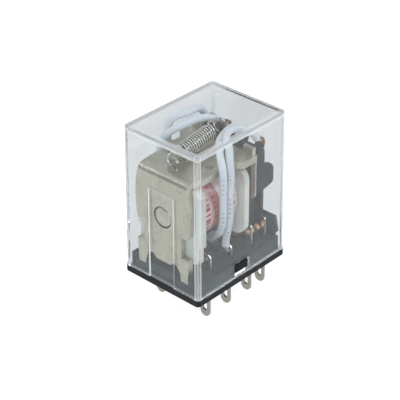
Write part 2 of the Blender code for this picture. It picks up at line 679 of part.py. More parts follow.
def build_coil():
    nylon = material("pale nylon", (0.78, 0.77, 0.7), 0.45)
    back = FRONT_FLANGE_Y + FRONT_FLANGE_THICKNESS
    profile = [
        (BARREL_RADIUS, FRONT_FLANGE_Y + 0.5 * mm),
        (BARREL_RADIUS, REAR_FLANGE_Y + 0.5 * mm),
        (CORE_RADIUS + 0.08 * mm, REAR_FLANGE_Y + 0.5 * mm),
        (CORE_RADIUS + 0.08 * mm, FRONT_FLANGE_Y + 0.5 * mm),
    ]
    bm = moved(turned_along_y(profile, 24), (0.0, 0.0, CORE_Z))
    bobbin = object_from(bm, "bobbin", nylon, 35)

    hole = circle(CORE_RADIUS + 0.08 * mm, 24, (0.0, CORE_Z))
    half = [(0.0, 9.9 * mm), (4.4 * mm, 9.9 * mm), (4.9 * mm, 8.5 * mm), (7.9 * mm, 8.5 * mm)]
    half += [(7.9 * mm, 12.4 * mm), (FLANGE_HALF_X, 12.4 * mm), (FLANGE_HALF_X, 24.4 * mm)]
    half += [(7.4 * mm, 25.8 * mm), (0.0, 25.8 * mm)]
    bm = flat_sheet([mirrored(half), hole], FRONT_FLANGE_THICKNESS)
    moved(bm, (0.0, FRONT_FLANGE_Y, 0.0))
    boolean(bobbin, cutter_from(bm, "bobbin_front_flange"), "UNION")

    low = 9.3 * mm
    high = 25.4 * mm
    outline = rounded_rectangle(FLANGE_HALF_X, (high - low) / 2, REAR_FLANGE_CORNER, 5)
    outline = [(x, z + (high + low) / 2) for x, z in outline]
    bm = flat_sheet([outline, hole], REAR_FLANGE_THICKNESS)
    moved(bm, (0.0, REAR_FLANGE_Y, 0.0))
    boolean(bobbin, cutter_from(bm, "bobbin_rear_flange"), "UNION")

    copper = material("enamelled copper", (0.5, 0.22, 0.1), 0.35, 0.6)
    profile = [
        (WINDING_RADIUS, back + 0.12 * mm),
        (WINDING_RADIUS, REAR_FLANGE_Y - 0.12 * mm),
        (BARREL_RADIUS + 0.1 * mm, REAR_FLANGE_Y - 0.12 * mm),
        (BARREL_RADIUS + 0.1 * mm, back + 0.12 * mm),
    ]
    winding = object_from(turned_along_y(profile, 32), "coil_winding", copper, 35)
    winding.location = (0.0, 0.0, CORE_Z)

    paper = material("coil tape", (0.84, 0.6, 0.58), 0.5)
    profile = [
        (TAPE_RADIUS, back + 0.2 * mm),
        (TAPE_RADIUS, REAR_FLANGE_Y - 0.2 * mm),
        (WINDING_RADIUS + 0.06 * mm, REAR_FLANGE_Y - 0.2 * mm),
        (WINDING_RADIUS + 0.06 * mm, back + 0.2 * mm),
    ]
    tape = object_from(turned_along_y(profile, 40), "coil_tape", paper, 35)
    tape.location = (0.0, 0.0, CORE_Z)

    wire = material("coil lead copper", (0.55, 0.25, 0.12), 0.35, 0.8)
    for index in range(2):
        side = -1 if index == 0 else 1
        start = Vector((side * 5.2 * mm, back + 0.35 * mm, CORE_Z - 5.1 * mm))
        middle = Vector((side * 5.9 * mm, back + 0.9 * mm, 10.6 * mm))
        near = Vector((side * 6.6 * mm, COIL_Y - 0.6 * mm, 9.2 * mm))
        end = Vector((side * 6.6 * mm, COIL_Y - 0.45 * mm, 7.2 * mm))
        route = smooth_route([start, middle, near, end], 3)
        bm = tube(route, [COIL_LEAD_RADIUS] * len(route), 6)
        object_from(bm, f"coil_lead_{index + 1}", wire, 60)


def build_armature():
    mat = material("armature iron", (0.52, 0.49, 0.42), 0.35, 1.0)
    half = [(0.0, ARMATURE_TONGUE_BOTTOM), (ARMATURE_TONGUE_HALF - 1.2 * mm, ARMATURE_TONGUE_BOTTOM)]
    half += [(ARMATURE_TONGUE_HALF, ARMATURE_TONGUE_BOTTOM + 1.2 * mm)]
    half += [(ARMATURE_TONGUE_HALF, ARMATURE_WING_BOTTOM)]
    half += [(ARMATURE_HALF_X - 0.3 * mm, ARMATURE_WING_BOTTOM)]
    half += [(ARMATURE_HALF_X, ARMATURE_WING_BOTTOM + 0.3 * mm)]
    half += [(ARMATURE_HALF_X, ARMATURE_TOP), (TAIL_HALF_X, ARMATURE_TOP)]
    half += [(TAIL_HALF_X, TAIL_NECK_Z), (0.0, TAIL_NECK_Z)]
    bm = flat_sheet([mirrored(half)], ARMATURE_THICKNESS)
    moved(bm, (0.0, ARMATURE_FACE_Y - HINGE_Y, -HINGE_Z))
    armature = object_from(bm, "armature", mat)

    tail = [(0.0, TAIL_NECK_Z - 0.8 * mm), (TAIL_HALF_X - 0.1 * mm, TAIL_NECK_Z - 0.8 * mm)]
    tail += [(TAIL_HALF_X - 0.1 * mm, TAIL_TOP - 0.7 * mm)]
    tail += [(TAIL_HALF_X - 0.7 * mm, TAIL_TOP), (0.0, TAIL_TOP)]
    eye = circle(TAIL_EYE_RADIUS, 12, (0.0, TAIL_EYE_Z))
    bm = flat_sheet([mirrored(tail), eye], TAIL_THICKNESS)
    moved(bm, (0.0, TAIL_Y - HINGE_Y, -HINGE_Z))
    tool = cutter_from(bm, "armature_tail")
    boolean(armature, tool, "UNION")
    return armature, tool


def build_moving_block():
    mat = material("black moulding", (0.055, 0.065, 0.07), 0.4)
    outline = [
        (BLOCK_BACK_Y, 17.9 * mm), (BLOCK_FACE_Y, 18.2 * mm), (RIB_FACE_Y - 0.4 * mm, 18.75 * mm),
        (RIB_FACE_Y, 19.3 * mm), (RIB_FACE_Y, 22.4 * mm), (RIB_FACE_Y - 0.4 * mm, 23.2 * mm),
        (RIB_FACE_Y - 1.2 * mm, 23.9 * mm), (BLOCK_FACE_Y, 24.3 * mm),
        (BLOCK_FACE_Y, 27.9 * mm), (BLOCK_FACE_Y - 1.0 * mm, 28.9 * mm),
        (BLOCK_BACK_Y + 0.3 * mm, 28.9 * mm), (BLOCK_BACK_Y, 28.6 * mm),
    ]
    outline = [(y - HINGE_Y, z - HINGE_Z) for y, z in outline]
    block = object_from(prism_along_x(outline, ARMATURE_HALF_X), "moving_block", mat)
    bm = bmesh.new()
    half = POLE_PITCH / 2 - FIN_THICKNESS / 2
    for index in range(POLES):
        x = pole_x(index)
        low = (max(x - half, FIN_THICKNESS - ARMATURE_HALF_X), BLOCK_FACE_Y - 0.05 * mm - HINGE_Y,
               17.0 * mm - HINGE_Z)
        high = (min(x + half, ARMATURE_HALF_X - FIN_THICKNESS), RIB_FACE_Y + 1 * mm - HINGE_Y,
                25.0 * mm - HINGE_Z)
        add_box(bm, low, high)
    half = TAIL_HALF_X + 0.5 * mm
    low = (-half, BLOCK_BACK_Y - 1 * mm - HINGE_Y, 26.6 * mm - HINGE_Z)
    add_box(bm, low, (half, BLOCK_BACK_Y + 1.2 * mm - HINGE_Y, 30.0 * mm - HINGE_Z))
    tool = cutter_from(bm, "moving_block_slots")
    boolean(block, tool, "DIFFERENCE")
    return block, tool


def hook(centre, first, last, count):
    """Points round a hook, whose ring is turned a little about the spring's long axis."""
    turn = math.radians(HOOK_TURN)
    up_way = Vector((-math.sin(turn), 0.0, math.cos(turn)))
    points = []
    for step in range(count):
        angle = math.radians(first + (last - first) * step / (count - 1))
        ring = Vector((0.0, math.cos(angle), 0.0)) + up_way * math.sin(angle)
        points.append(centre + HOOK_RADIUS * ring)
    return points


def build_return_spring():
    mat = material("spring steel wire", (0.66, 0.64, 0.58), 0.22, 1.0)
    route = hook(FRONT_HOOK, -30, -330, 14)
    axis = COIL_REAR - COIL_FRONT
    forward = axis.normalized()
    side_way = Vector((1.0, 0.0, 0.0))
    up_way = side_way.cross(forward)
    per_turn = 12
    turns = round(axis.length / COIL_PITCH)
    steps = turns * per_turn
    for step in range(steps + 1):
        angle = 2 * math.pi * step / per_turn + math.pi / 2
        around = side_way * math.cos(angle) + up_way * math.sin(angle)
        route.append(COIL_FRONT + axis * (step / steps) + around * COIL_RADIUS)
    route += hook(REAR_HOOK, 150, 450, 14)
    bm = tube(route, [COIL_WIRE_RADIUS] * len(route), 5)
    return object_from(bm, "return_spring", mat, 60)


def lead_route(index):
    """Centre line of a pole's lead, from its common terminal up round the coil to its spring."""
    x = pole_x(index)
    side = 1 if x > 0 else -1
    foot_y = COMMON_Y - BLADE_THICKNESS / 2 - STRAND_RADIUS - 0.08 * mm
    outer = abs(x) > 1.2 * POLE_PITCH
    if outer:
        middle = [(6.9, -1.5, 10.2), (7.8, -1.8, 13.4), (8.6, -2.3, 17.0), (8.65, -2.5, 21.5)]
        middle += [(8.6, -2.1, 25.5), (8.6, -2.4, 29.4), (8.1, -2.1, 32.1), (6.8, -1.1, 33.55)]
        middle += [(5.9, 1.2, 33.75), (6.3, 3.9, 33.4), (7.0, 6.2, 32.2), (7.0, 7.7, 30.5)]
    else:
        middle = [(3.5, -1.9, 9.7), (5.7, -3.0, 11.2), (7.4, -3.8, 13.4), (8.5, -4.3, 17.0)]
        middle += [(8.65, -4.5, 21.5), (8.6, -4.4, 25.8), (8.2, -4.25, 28.8), (6.6, -3.2, 30.9)]
        middle += [(4.9, -0.9, 32.0), (4.0, 2.2, 32.5), (3.1, 5.2, 31.9), (2.2, 7.7, 30.3)]
    points = [Vector((x, foot_y, 6.6 * mm)), Vector((x, foot_y, 7.9 * mm))]
    points += [Vector((side * px, py, pz)) * mm for px, py, pz in middle]
    points.append(Vector((x, 8.75 * mm, 29.35 * mm)))
    return points


def build_leads():
    mat = material("white sleeving", (0.8, 0.84, 0.87), 0.4)
    for index in range(POLES):
        points = lead_route(index)
        route = smooth_route(points, 2)
        radii = [SLEEVE_RADIUS] * len(route)
        radii[0] = STRAND_RADIUS
        radii[1] = STRAND_RADIUS
        radii[-1] = STRAND_RADIUS
        radii[-2] = STRAND_RADIUS
        first_step = route[2] + (route[3] - route[2]) * 0.12
        last_step = route[-3] + (route[-4] - route[-3]) * 0.12
        route[2] = first_step
        low = route[2] - (route[3] - route[2]).normalized() * 0.05 * mm
        high = last_step + (route[-3] - route[-4]).normalized() * 0.05 * mm
        route = route[:2] + [low] + route[2:-3] + [last_step, high] + route[-2:]
        radii = radii[:2] + [STRAND_RADIUS] + radii[2:-3] + [SLEEVE_RADIUS, STRAND_RADIUS] + radii[-2:]
        object_from(tube(route, radii, 8), f"lead_{index + 1}", mat, 50)


def main():
    clear_scene()
    hinge = bpy.data.objects.new("armature_hinge", None)
    hinge.location = (0.0, HINGE_Y, HINGE_Z)
    bpy.context.scene.collection.objects.link(hinge)
    build_cover()
    build_base()
    build_terminals()
    moving = build_contacts()
    moving += build_moving_springs()
    build_yoke()
    build_core()
    build_coil()
    moving += build_armature()
    moving += build_moving_block()
    build_return_spring()
    build_leads()
    for piece in moving:
        piece.parent = hinge
    bpy.context.view_layer.update()


main()
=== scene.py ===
import math

import bmesh
import bpy
from mathutils import Matrix, Vector, noise


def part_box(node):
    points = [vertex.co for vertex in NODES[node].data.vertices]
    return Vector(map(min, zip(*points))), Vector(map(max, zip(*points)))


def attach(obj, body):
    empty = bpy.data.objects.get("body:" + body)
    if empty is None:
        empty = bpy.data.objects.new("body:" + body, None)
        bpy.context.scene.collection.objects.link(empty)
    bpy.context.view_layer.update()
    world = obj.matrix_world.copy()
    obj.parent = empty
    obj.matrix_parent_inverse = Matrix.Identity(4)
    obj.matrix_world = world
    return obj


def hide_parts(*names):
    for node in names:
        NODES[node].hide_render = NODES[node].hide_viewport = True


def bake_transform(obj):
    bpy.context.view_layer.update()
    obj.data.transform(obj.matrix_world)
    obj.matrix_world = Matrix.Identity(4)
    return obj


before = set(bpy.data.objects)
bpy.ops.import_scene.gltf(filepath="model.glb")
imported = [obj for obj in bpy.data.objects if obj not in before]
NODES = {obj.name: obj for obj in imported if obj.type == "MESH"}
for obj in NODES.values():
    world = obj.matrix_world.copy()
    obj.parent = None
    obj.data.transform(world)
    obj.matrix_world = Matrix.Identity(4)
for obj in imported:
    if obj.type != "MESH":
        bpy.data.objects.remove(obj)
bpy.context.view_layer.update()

mm = 0.001
BODY = "relay_body"
ARM = "armature_assembly"
POLE_X = [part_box(f"common_terminal_{i}")[0].x / 2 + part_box(f"common_terminal_{i}")[1].x / 2
          for i in range(1, 5)]

# Cover: half sizes at its bottom, and the draft over its whole height
COVER_HALF_X = 10.75 * mm
COVER_HALF_Y = 14.0 * mm
COVER_BOTTOM = 1.45 * mm
COVER_TOP = 35.8 * mm
COVER_DRAFT = 0.26 * mm
COVER_WALL = 0.92 * mm
COVER_ROOF = 1.0 * mm
COVER_CORNER = 0.9 * mm
COVER_TOP_CORNER = 0.85 * mm
COVER_TOP_EDGE = 0.38 * mm
COVER_MIDDLE = 12.0 * mm
ABOVE_LIP = 0.12 * mm
CHANNEL_HALF = 3.65 * mm
CHANNEL_FLOOR_Y = -13.58 * mm
CHANNEL_TOP = 23.5 * mm
OUTLINE_STEPS = 7

# Coil, on a line along Y at this height
COIL_Z = 17.5 * mm
COIL_FRONT_Y = -9.6 * mm
COIL_REAR_Y = 2.35 * mm
WINDING_RADIUS = 6.62 * mm
WINDING_BORE = 3.7 * mm
TAPE_RADIUS = 6.83 * mm
TAPE_BORE = 6.71 * mm

# Return spring: the line its turns are wound on
SPRING_FRONT = Vector((0.0, -7.2, 29.85)) * mm
SPRING_REAR = Vector((0.0, 1.4, 31.3)) * mm
SPRING_RADIUS = 1.62 * mm
SPRING_WIRE = 0.205 * mm
SPRING_TURNS = 14
HOOK_RADIUS = 1.35 * mm

CONTACT_Z = 7.9 * mm
FLOOR_Z = -7.4 * mm


# ------------------------------------------------------------------ node helpers
def new_material(name, color, rough, metallic=0.0, specular=0.5):
    mat = bpy.data.materials.new(name)
    mat.use_nodes = True
    shader = mat.node_tree.nodes["Principled BSDF"]
    shader.inputs["Base Color"].default_value = (*color, 1)
    shader.inputs["Roughness"].default_value = rough
    shader.inputs["Metallic"].default_value = metallic
    shader.inputs["Specular IOR Level"].default_value = specular
    mat.diffuse_color = (*color, 1)
    return mat, mat.node_tree, shader


def add(tree, kind, links=None, **props):
    """Adds a node; links gives its inputs, each a socket to link or a value to set."""
    n = tree.nodes.new(kind)
    for key, value in props.items():
        setattr(n, key, value)
    for key, value in (links or {}).items():
        if isinstance(value, bpy.types.NodeSocket):
            tree.links.new(value, n.inputs[key])
        else:
            n.inputs[key].default_value = value
    return n


def where(tree, stretch=(1, 1, 1)):
    """Object coordinates in metres, stretched along each axis."""
    coord = add(tree, "ShaderNodeTexCoord").outputs["Object"]
    return add(tree, "ShaderNodeMapping", {"Vector": coord, "Scale": stretch}).outputs["Vector"]


def object_axes(tree):
    """The object coordinates X, Y and Z as three sockets."""
    coord = add(tree, "ShaderNodeTexCoord").outputs["Object"]
    return add(tree, "ShaderNodeSeparateXYZ", {0: coord}).outputs


def speckle(tree, vector, scale, detail=3.0, rough=0.55):
    return add(tree, "ShaderNodeTexNoise", {"Vector": vector, "Scale": scale, "Detail": detail,
                                            "Roughness": rough}).outputs["Fac"]


def spread(tree, fac, low, high, to_low=0.0, to_high=1.0):
    """to_low where fac is low, to_high where it is high, even between and flat beyond."""
    return add(tree, "ShaderNodeMapRange", {"Value": fac, "From Min": low, "From Max": high,
                                            "To Min": to_low, "To Max": to_high}).outputs[0]


def calc(tree, operation, one, two=0.0):
    return add(tree, "ShaderNodeMath", {0: one, 1: two}, operation=operation).outputs[0]


def times(tree, one, two):
    return calc(tree, "MULTIPLY", one, two)


def scaled(tree, value, factor, base):
    """value * factor + base"""
    links = {0: value, 1: factor, 2: base}
    return add(tree, "ShaderNodeMath", links, operation="MULTIPLY_ADD").outputs[0]


def largest(tree, *values):
    total = values[0]
    for value in values[1:]:
        total = calc(tree, "MAXIMUM", total, value)
    return total


def blend_colors(tree, fac, one, two):
    n = tree.nodes.new("ShaderNodeMix")
    n.data_type = "RGBA"
    for key, value in ((0, fac), (6, one), (7, two)):
        if isinstance(value, bpy.types.NodeSocket):
            tree.links.new(value, n.inputs[key])
        elif key == 0:
            n.inputs[key].default_value = value
        else:
            n.inputs[key].default_value = (*value, 1)
    return n.outputs[2]


def relief(tree, height, strength, depth, before=None):
    """A bump of this depth in metres, on top of the one before."""
    links = {"Height": height, "Strength": strength, "Distance": depth}
    if before is not None:
        links["Normal"] = before
    return add(tree, "ShaderNodeBump", links).outputs["Normal"]


# ------------------------------------------------------------------ painted light and shade by place on a piece
def tint(mat, mask, color):
    """Lays one more color over a material where mask is 1."""
    tree = mat.node_tree
    socket = tree.nodes["Principled BSDF"].inputs["Base Color"]
    tree.links.new(blend_colors(tree, mask, socket.links[0].from_socket, color), socket)


def shade_past(mat, axis, start, full, color, share=1.0):
    """Lays color over the part beyond full on one axis, faded in from start."""
    tree = mat.node_tree
    tint(mat, spread(tree, object_axes(tree)[axis], start, full, 0.0, share), color)


def shade_coil(mat, front, rear, low, high):
    """Painted shade between the turns of a spring that is wound on the line from front to rear.

    It is full up to the distance low from that line, and gone at high.
    """
    tree = mat.node_tree
    length = (rear - front).length
    way = (rear - front) / length
    soft = 0.1 * mm

    def vector_math(operation, links, output=0):
        return add(tree, "ShaderNodeVectorMath", links, operation=operation).outputs[output]

    coord = add(tree, "ShaderNodeTexCoord").outputs["Object"]
    out = vector_math("SUBTRACT", {0: coord, 1: front})
    run = vector_math("DOT_PRODUCT", {0: out, 1: way}, "Value")
    on_line = vector_math("SCALE", {0: way, "Scale": run})
    off = vector_math("SUBTRACT", {0: out, 1: on_line})
    reach = vector_math("LENGTH", {0: off}, "Value")
    groove = spread(tree, reach, low, high, 1.0, 0.0)
    coiled = times(tree, spread(tree, run, -soft, soft),
                   spread(tree, run, length - soft, length + soft, 1.0, 0.0))
    # painted shade on the inner sides of the turns, where they meet
    tint(mat, times(tree, groove, coiled), (0.32, 0.31, 0.27))


def shade_lug(mat, color):
    """The spring's lug is in the shade of its hook."""
    tree = mat.node_tree
    axes = object_axes(tree)
    above_yoke = spread(tree, axes["Z"], 28.0 * mm, 28.4 * mm)
    at_lug = spread(tree, axes["Y"], -8.2 * mm, -7.8 * mm, 1.0, 0.0)
    tint(mat, times(tree, times(tree, above_yoke, at_lug), 0.7), color)


def shade_noses(mat, color):
    """The base's two snap noses sit in their own shade behind the windows."""
    tree = mat.node_tree
    axes = object_axes(tree)
    beyond_block = spread(tree, calc(tree, "ABSOLUTE", axes["X"]), 9.7 * mm, 9.75 * mm)
    above_rim = spread(tree, axes["Z"], 1.9 * mm, 2.1 * mm)
    tint(mat, times(tree, beyond_block, above_rim), color)


# ------------------------------------------------------------------ materials
def metal(name, dark, light, rough, grain=(1, 1, 1), wear=0.35, metallic=1.0, rolled=0.12):
    """Plated or rolled metal: soft mottling, a fine rolled grain and slightly uneven gloss."""
    mat, tree, shader = new_material(name, light, rough, metallic)
    here = where(tree)
    cloud = speckle(tree, here, 420, 4)
    fine = speckle(tree, where(tree, grain), 5200, 2)
    spots = spread(tree, speckle(tree, here, 1500, 5, 0.7), 0.62, 0.8)
    tone = times(tree, spread(tree, fine, 0.3, 0.7), 0.6)
    tone = calc(tree, "ADD", tone, spread(tree, cloud, 0.3, 0.7, 0.0, 0.4))
    color = blend_colors(tree, tone, dark, light)
    worn = tuple(c * 0.55 for c in dark)
    color = blend_colors(tree, times(tree, spots, wear), color, worn)
    tree.links.new(color, shader.inputs["Base Color"])
    gloss = scaled(tree, cloud, 0.14, scaled(tree, fine, 0.1, rough - 0.05))
    tree.links.new(gloss, shader.inputs["Roughness"])
    bump = relief(tree, fine, rolled, 0.02 * mm)
    bump = relief(tree, cloud, 0.04, 0.12 * mm, bump)
    tree.links.new(bump, shader.inputs["Normal"])
    return mat


def moulded(name, dark, light, rough, grain=0.12, coat=0.0, subsurface=0.0, specular=0.5):
    """Moulded plastic: fine spark-eroded grain, flow marks, dust, and lighter edges that are partly
    wear and partly a painted highlight.
    """
    mat, tree, shader = new_material(name, light, rough, 0.0, specular)
    here = where(tree)
    flow = speckle(tree, where(tree, (1, 0.35, 1)), 260, 4)
    fine = speckle(tree, here, 9000, 2)
    dust = spread(tree, speckle(tree, here, 2600, 6, 0.75), 0.66, 0.78)
    edge = spread(tree, add(tree, "ShaderNodeNewGeometry").outputs["Pointiness"], 0.52, 0.62)
    color = blend_colors(tree, spread(tree, flow, 0.3, 0.7), dark, light)
    # lighter edges: partly wear, partly a painted highlight where the edges catch light
    worn = tuple(min(1, c * 1.8 + 0.02) for c in light)
    color = blend_colors(tree, times(tree, edge, 0.35), color, worn)
    color = blend_colors(tree, times(tree, dust, 0.12), color, (0.55, 0.55, 0.53))
    tree.links.new(color, shader.inputs["Base Color"])
    tree.links.new(scaled(tree, fine, 0.16, rough - 0.08), shader.inputs["Roughness"])
    bump = relief(tree, fine, grain, 0.03 * mm)
    bump = relief(tree, flow, 0.08, 0.2 * mm, bump)
    tree.links.new(bump, shader.inputs["Normal"])
    shader.inputs["Coat Weight"].default_value = coat
    shader.inputs["Subsurface Weight"].default_value = subsurface
    shader.inputs["Subsurface Scale"].default_value = 0.6 * mm
    return mat


def make_clear():
    """Clear polycarbonate, with painted white highlights along its walls' ends, corners and inner
    lines, the channel's sides and the lip, a painted glare on the roof over the leads, and a painted
    grey shade round the roof's outer border.

    The masks are in millimetres. x and y have no sign, and the draft is taken out of them.
    """
    # the white of the painted highlights and random haze, and the grey of the painted shade round
    # the roof's border
    body, haze_and_highlight_color, roof_edge_shade_color = (0.86, 0.88, 0.895), (0.93, 0.96, 0.98), (0.55, 0.59, 0.62)
    wall_x, wall_y, roof = 9.75, 13.0, 34.75
    channel_side, channel_mouth, channel_top = 3.53, 3.6, 23.4
    lip_bottom, lip_top = 1.5, 1.95
    mat, tree, shader = new_material("clear_polycarbonate", body, 0.02)
    shader.inputs["IOR"].default_value = 1.46
    axes = object_axes(tree)
    z = times(tree, axes["Z"], 1 / mm)
    flat_x = times(tree, calc(tree, "ABSOLUTE", axes["X"]), 1 / mm)
    flat_y = times(tree, calc(tree, "ABSOLUTE", axes["Y"]), 1 / mm)
    draft = times(tree, z, COVER_DRAFT / (COVER_TOP - COVER_BOTTOM))
    x = calc(tree, "ADD", flat_x, draft)
    y = calc(tree, "ADD", flat_y, draft)

    def line(value, at, half=0.075, soft=0.06):
        off = calc(tree, "ABSOLUTE", calc(tree, "SUBTRACT", value, at))
        return spread(tree, off, half, half + soft, 1.0, 0.0)

    def within(*masks):
        total = masks[0]
        for mask in masks[1:]:
            total = times(tree, total, mask)
        return total

    end_x, end_y, end_z = [spread(tree, value, at - 0.05, at + 0.1)
                           for value, at in ((x, wall_x), (y, wall_y), (z, roof))]
    upright = within(end_x, end_y)
    ends = largest(tree, within(end_y, end_z), within(end_x, end_z))
    lines = largest(tree, within(line(x, wall_x), largest(tree, end_y, end_z)),
                    within(line(y, wall_y), largest(tree, end_x, end_z)),
                    within(line(z, roof), largest(tree, end_x, end_y)))
    front = spread(tree, axes["Y"], -13.2 * mm, -13.1 * mm, 1.0, 0.0)
    below_top = spread(tree, z, channel_top, channel_top + 0.1, 1.0, 0.0)
    in_mouth = spread(tree, flat_x, channel_mouth, channel_mouth + 0.05, 1.0, 0.0)
    sides = within(line(flat_x, channel_side, 0.1), front, below_top)
    top_line = within(line(z, channel_top, 0.06), front, in_mouth)
    low_line = largest(tree, line(z, lip_top, 0.03, 0.03), line(z, lip_bottom, 0.03, 0.03))
    on_top = spread(tree, z, 35.3, 35.5)
    outermost = largest(tree, spread(tree, x, 10.55, 10.65), spread(tree, y, 13.8, 13.9))
    roof_edge_shade = within(on_top, outermost)
    roof_glare = within(spread(tree, axes["X"], -3.0 * mm, -7.5 * mm), on_top)
    # painted light: white highlights along the walls' ends, corners and inner lines, the channel's
    # sides and top and the lip; a painted glare on the roof over the leads; a painted grey shade
    # round the roof's outer border
    shares = ((ends, 0.4), (upright, 0.24), (lines, 0.7), (sides, 0.9), (top_line, 0.5),
              (low_line, 0.6), (roof_glare, 0.52), (roof_edge_shade, 0.5))
    haze_and_highlight = largest(tree, *[times(tree, mask, share) for mask, share in shares])

    here = where(tree)
    smear = spread(tree, speckle(tree, here, 700, 5, 0.7), 0.5, 0.8, 0.0, 0.05)
    haze_and_highlight = calc(tree, "ADD", haze_and_highlight, times(tree, smear, 0.5))
    tree.links.new(calc(tree, "SUBTRACT", 1.0, haze_and_highlight), shader.inputs["Transmission Weight"])
    color = blend_colors(tree, haze_and_highlight, body, haze_and_highlight_color)
    tree.links.new(blend_colors(tree, roof_edge_shade, color, roof_edge_shade_color), shader.inputs["Base Color"])
    rough = scaled(tree, haze_and_highlight, 0.2, 0.015)
    tree.links.new(calc(tree, "ADD", smear, rough), shader.inputs["Roughness"])
    wave = speckle(tree, here, 110, 2)
    tree.links.new(relief(tree, wave, 0.05, 0.3 * mm), shader.inputs["Normal"])

    output = tree.nodes["Material Output"]
    in_shadow = add(tree, "ShaderNodeLightPath").outputs["Is Shadow Ray"]
    open_way = add(tree, "ShaderNodeBsdfTransparent", {"Color": (0.95, 0.965, 0.97, 1)})
    both = add(tree, "ShaderNodeMixShader",
               {0: in_shadow, 1: shader.outputs[0], 2: open_way.outputs[0]})
    tree.links.new(both.outputs[0], output.inputs["Surface"])
    thick = add(tree, "ShaderNodeVolumeAbsorption",
                {"Color": (0.66, 0.76, 0.8, 1), "Density": 30.0})
    tree.links.new(thick.outputs[0], output.inputs["Volume"])
    mat.diffuse_color = (0.9, 0.95, 1, 0.3)
    return mat


def make_tape():
    """Film tape round the winding, with plain stripes and short bars printed in red.

    The print is laid out in millimetres along the coil and around it.
    """
    mat, tree, shader = new_material("printed_coil_tape", (0.86, 0.7, 0.66), 0.38)
    axes = object_axes(tree)
    turn = calc(tree, "ARCTAN2", axes["X"], calc(tree, "SUBTRACT", axes["Z"], COIL_Z))
    around = times(tree, turn, 6.9)
    along = times(tree, axes["Y"], 1 / mm)

    def between(value, low, high, soft=0.04):
        up = spread(tree, value, low - soft, low + soft)
        down = spread(tree, value, high - soft, high + soft, 1.0, 0.0)
        return times(tree, up, down)

    def bars(pitch, share, shift=0.0):
        """Bars side by side around the coil, each up to a share of the pitch."""
        moved = calc(tree, "ADD", around, shift)
        part = calc(tree, "FRACT", calc(tree, "DIVIDE", moved, pitch))
        return between(part, 0.05, share)

    rows = ((-8.2, -6.15, largest(tree, bars(1.1, 0.5), bars(2.9, 0.3, 0.4))),
            (-5.1, -4.1, largest(tree, bars(1.15, 0.3), bars(2.3, 0.22, 0.4))),
            (0.0, 1.3, bars(1.7, 0.36)))
    printed = [times(tree, between(along, low, high), mask) for low, high, mask in rows]
    printed.append(between(along, -5.75, -5.6))
    printed += [between(along, at - 0.06, at + 0.06, 0.03) for at in (-3.75, -3.45, -3.12)]
    band = between(along, -5.4, -3.0)

    paper = blend_colors(tree, speckle(tree, where(tree), 900, 4),
                         (0.76, 0.62, 0.59), (0.88, 0.78, 0.75))
    red = blend_colors(tree, speckle(tree, where(tree), 4200, 3),
                       (0.42, 0.03, 0.05), (0.55, 0.07, 0.09))
    color = blend_colors(tree, times(tree, band, 0.8), paper, (0.52, 0.14, 0.16))
    color = blend_colors(tree, largest(tree, *printed), color, red)
    tree.links.new(color, shader.inputs["Base Color"])
    wraps = speckle(tree, where(tree, (1, 6, 1)), 380, 3)
    tree.links.new(relief(tree, wraps, 0.25, 0.12 * mm), shader.inputs["Normal"])
    tree.links.new(spread(tree, wraps, 0.3, 0.7, 0.3, 0.45), shader.inputs["Roughness"])
    shader.inputs["Coat Weight"].default_value = 0.4
    shader.inputs["Coat Roughness"].default_value = 0.15
    return mat


def make_sleeve():
    """White sleeving with a row of faint grey ticks; the tube's map runs along it in millimetres."""
    mat, tree, shader = new_material("white_sleeving", (0.8, 0.85, 0.88), 0.36)
    coord = add(tree, "ShaderNodeTexCoord").outputs["UV"]
    uv = add(tree, "ShaderNodeSeparateXYZ", {0: coord}).outputs

    def dashes(pitch, share, soft):
        part = calc(tree, "FRACT", calc(tree, "DIVIDE", uv["X"], pitch))
        return spread(tree, part, share, share + soft, 1.0, 0.0)

    tick = dashes(1.12, 0.3, 0.06)
    group = dashes(9.0, 0.55, 0.03)
    off = calc(tree, "ABSOLUTE", calc(tree, "SUBTRACT", uv["Y"], 0.5))
    strip = spread(tree, off, 0.03, 0.05, 1.0, 0.0)
    worn = spread(tree, speckle(tree, where(tree), 5200, 3), 0.36, 0.5)
    below_bend = spread(tree, object_axes(tree)["Z"], 26.5 * mm, 27.0 * mm, 1.0, 0.0)
    ink = times(tree, times(tree, tick, strip), times(tree, group, worn))
    ink = times(tree, times(tree, ink, below_bend), 0.85)
    cloud = speckle(tree, where(tree), 520, 4)
    color = blend_colors(tree, cloud, (0.62, 0.68, 0.73), (0.78, 0.83, 0.87))
    color = blend_colors(tree, ink, color, (0.2, 0.23, 0.3))
    tree.links.new(color, shader.inputs["Base Color"])
    fine = speckle(tree, where(tree), 4600, 3)
    tree.links.new(relief(tree, fine, 0.1, 0.04 * mm), shader.inputs["Normal"])
    tree.links.new(spread(tree, fine, 0.3, 0.7, 0.3, 0.44), shader.inputs["Roughness"])
    shader.inputs["Subsurface Weight"].default_value = 0.25
    shader.inputs["Subsurface Scale"].default_value = 0.5 * mm
    return mat


def make_winding():
    """Enamelled copper wire, with a ridge for each fine turn."""
    wire_pitch = 0.12 * mm
    mat, tree, shader = new_material("enamelled_winding", (0.5, 0.2, 0.08), 0.3, 0.75)
    wire = calc(tree, "SINE", times(tree, object_axes(tree)["Y"], 2 * math.pi / wire_pitch))
    tone = speckle(tree, where(tree, (1, 5, 1)), 900, 3)
    tree.links.new(blend_colors(tree, tone, (0.36, 0.12, 0.05), (0.62, 0.27, 0.12)),
                   shader.inputs["Base Color"])
    tree.links.new(relief(tree, wire, 0.6, 0.03 * mm), shader.inputs["Normal"])
    return mat


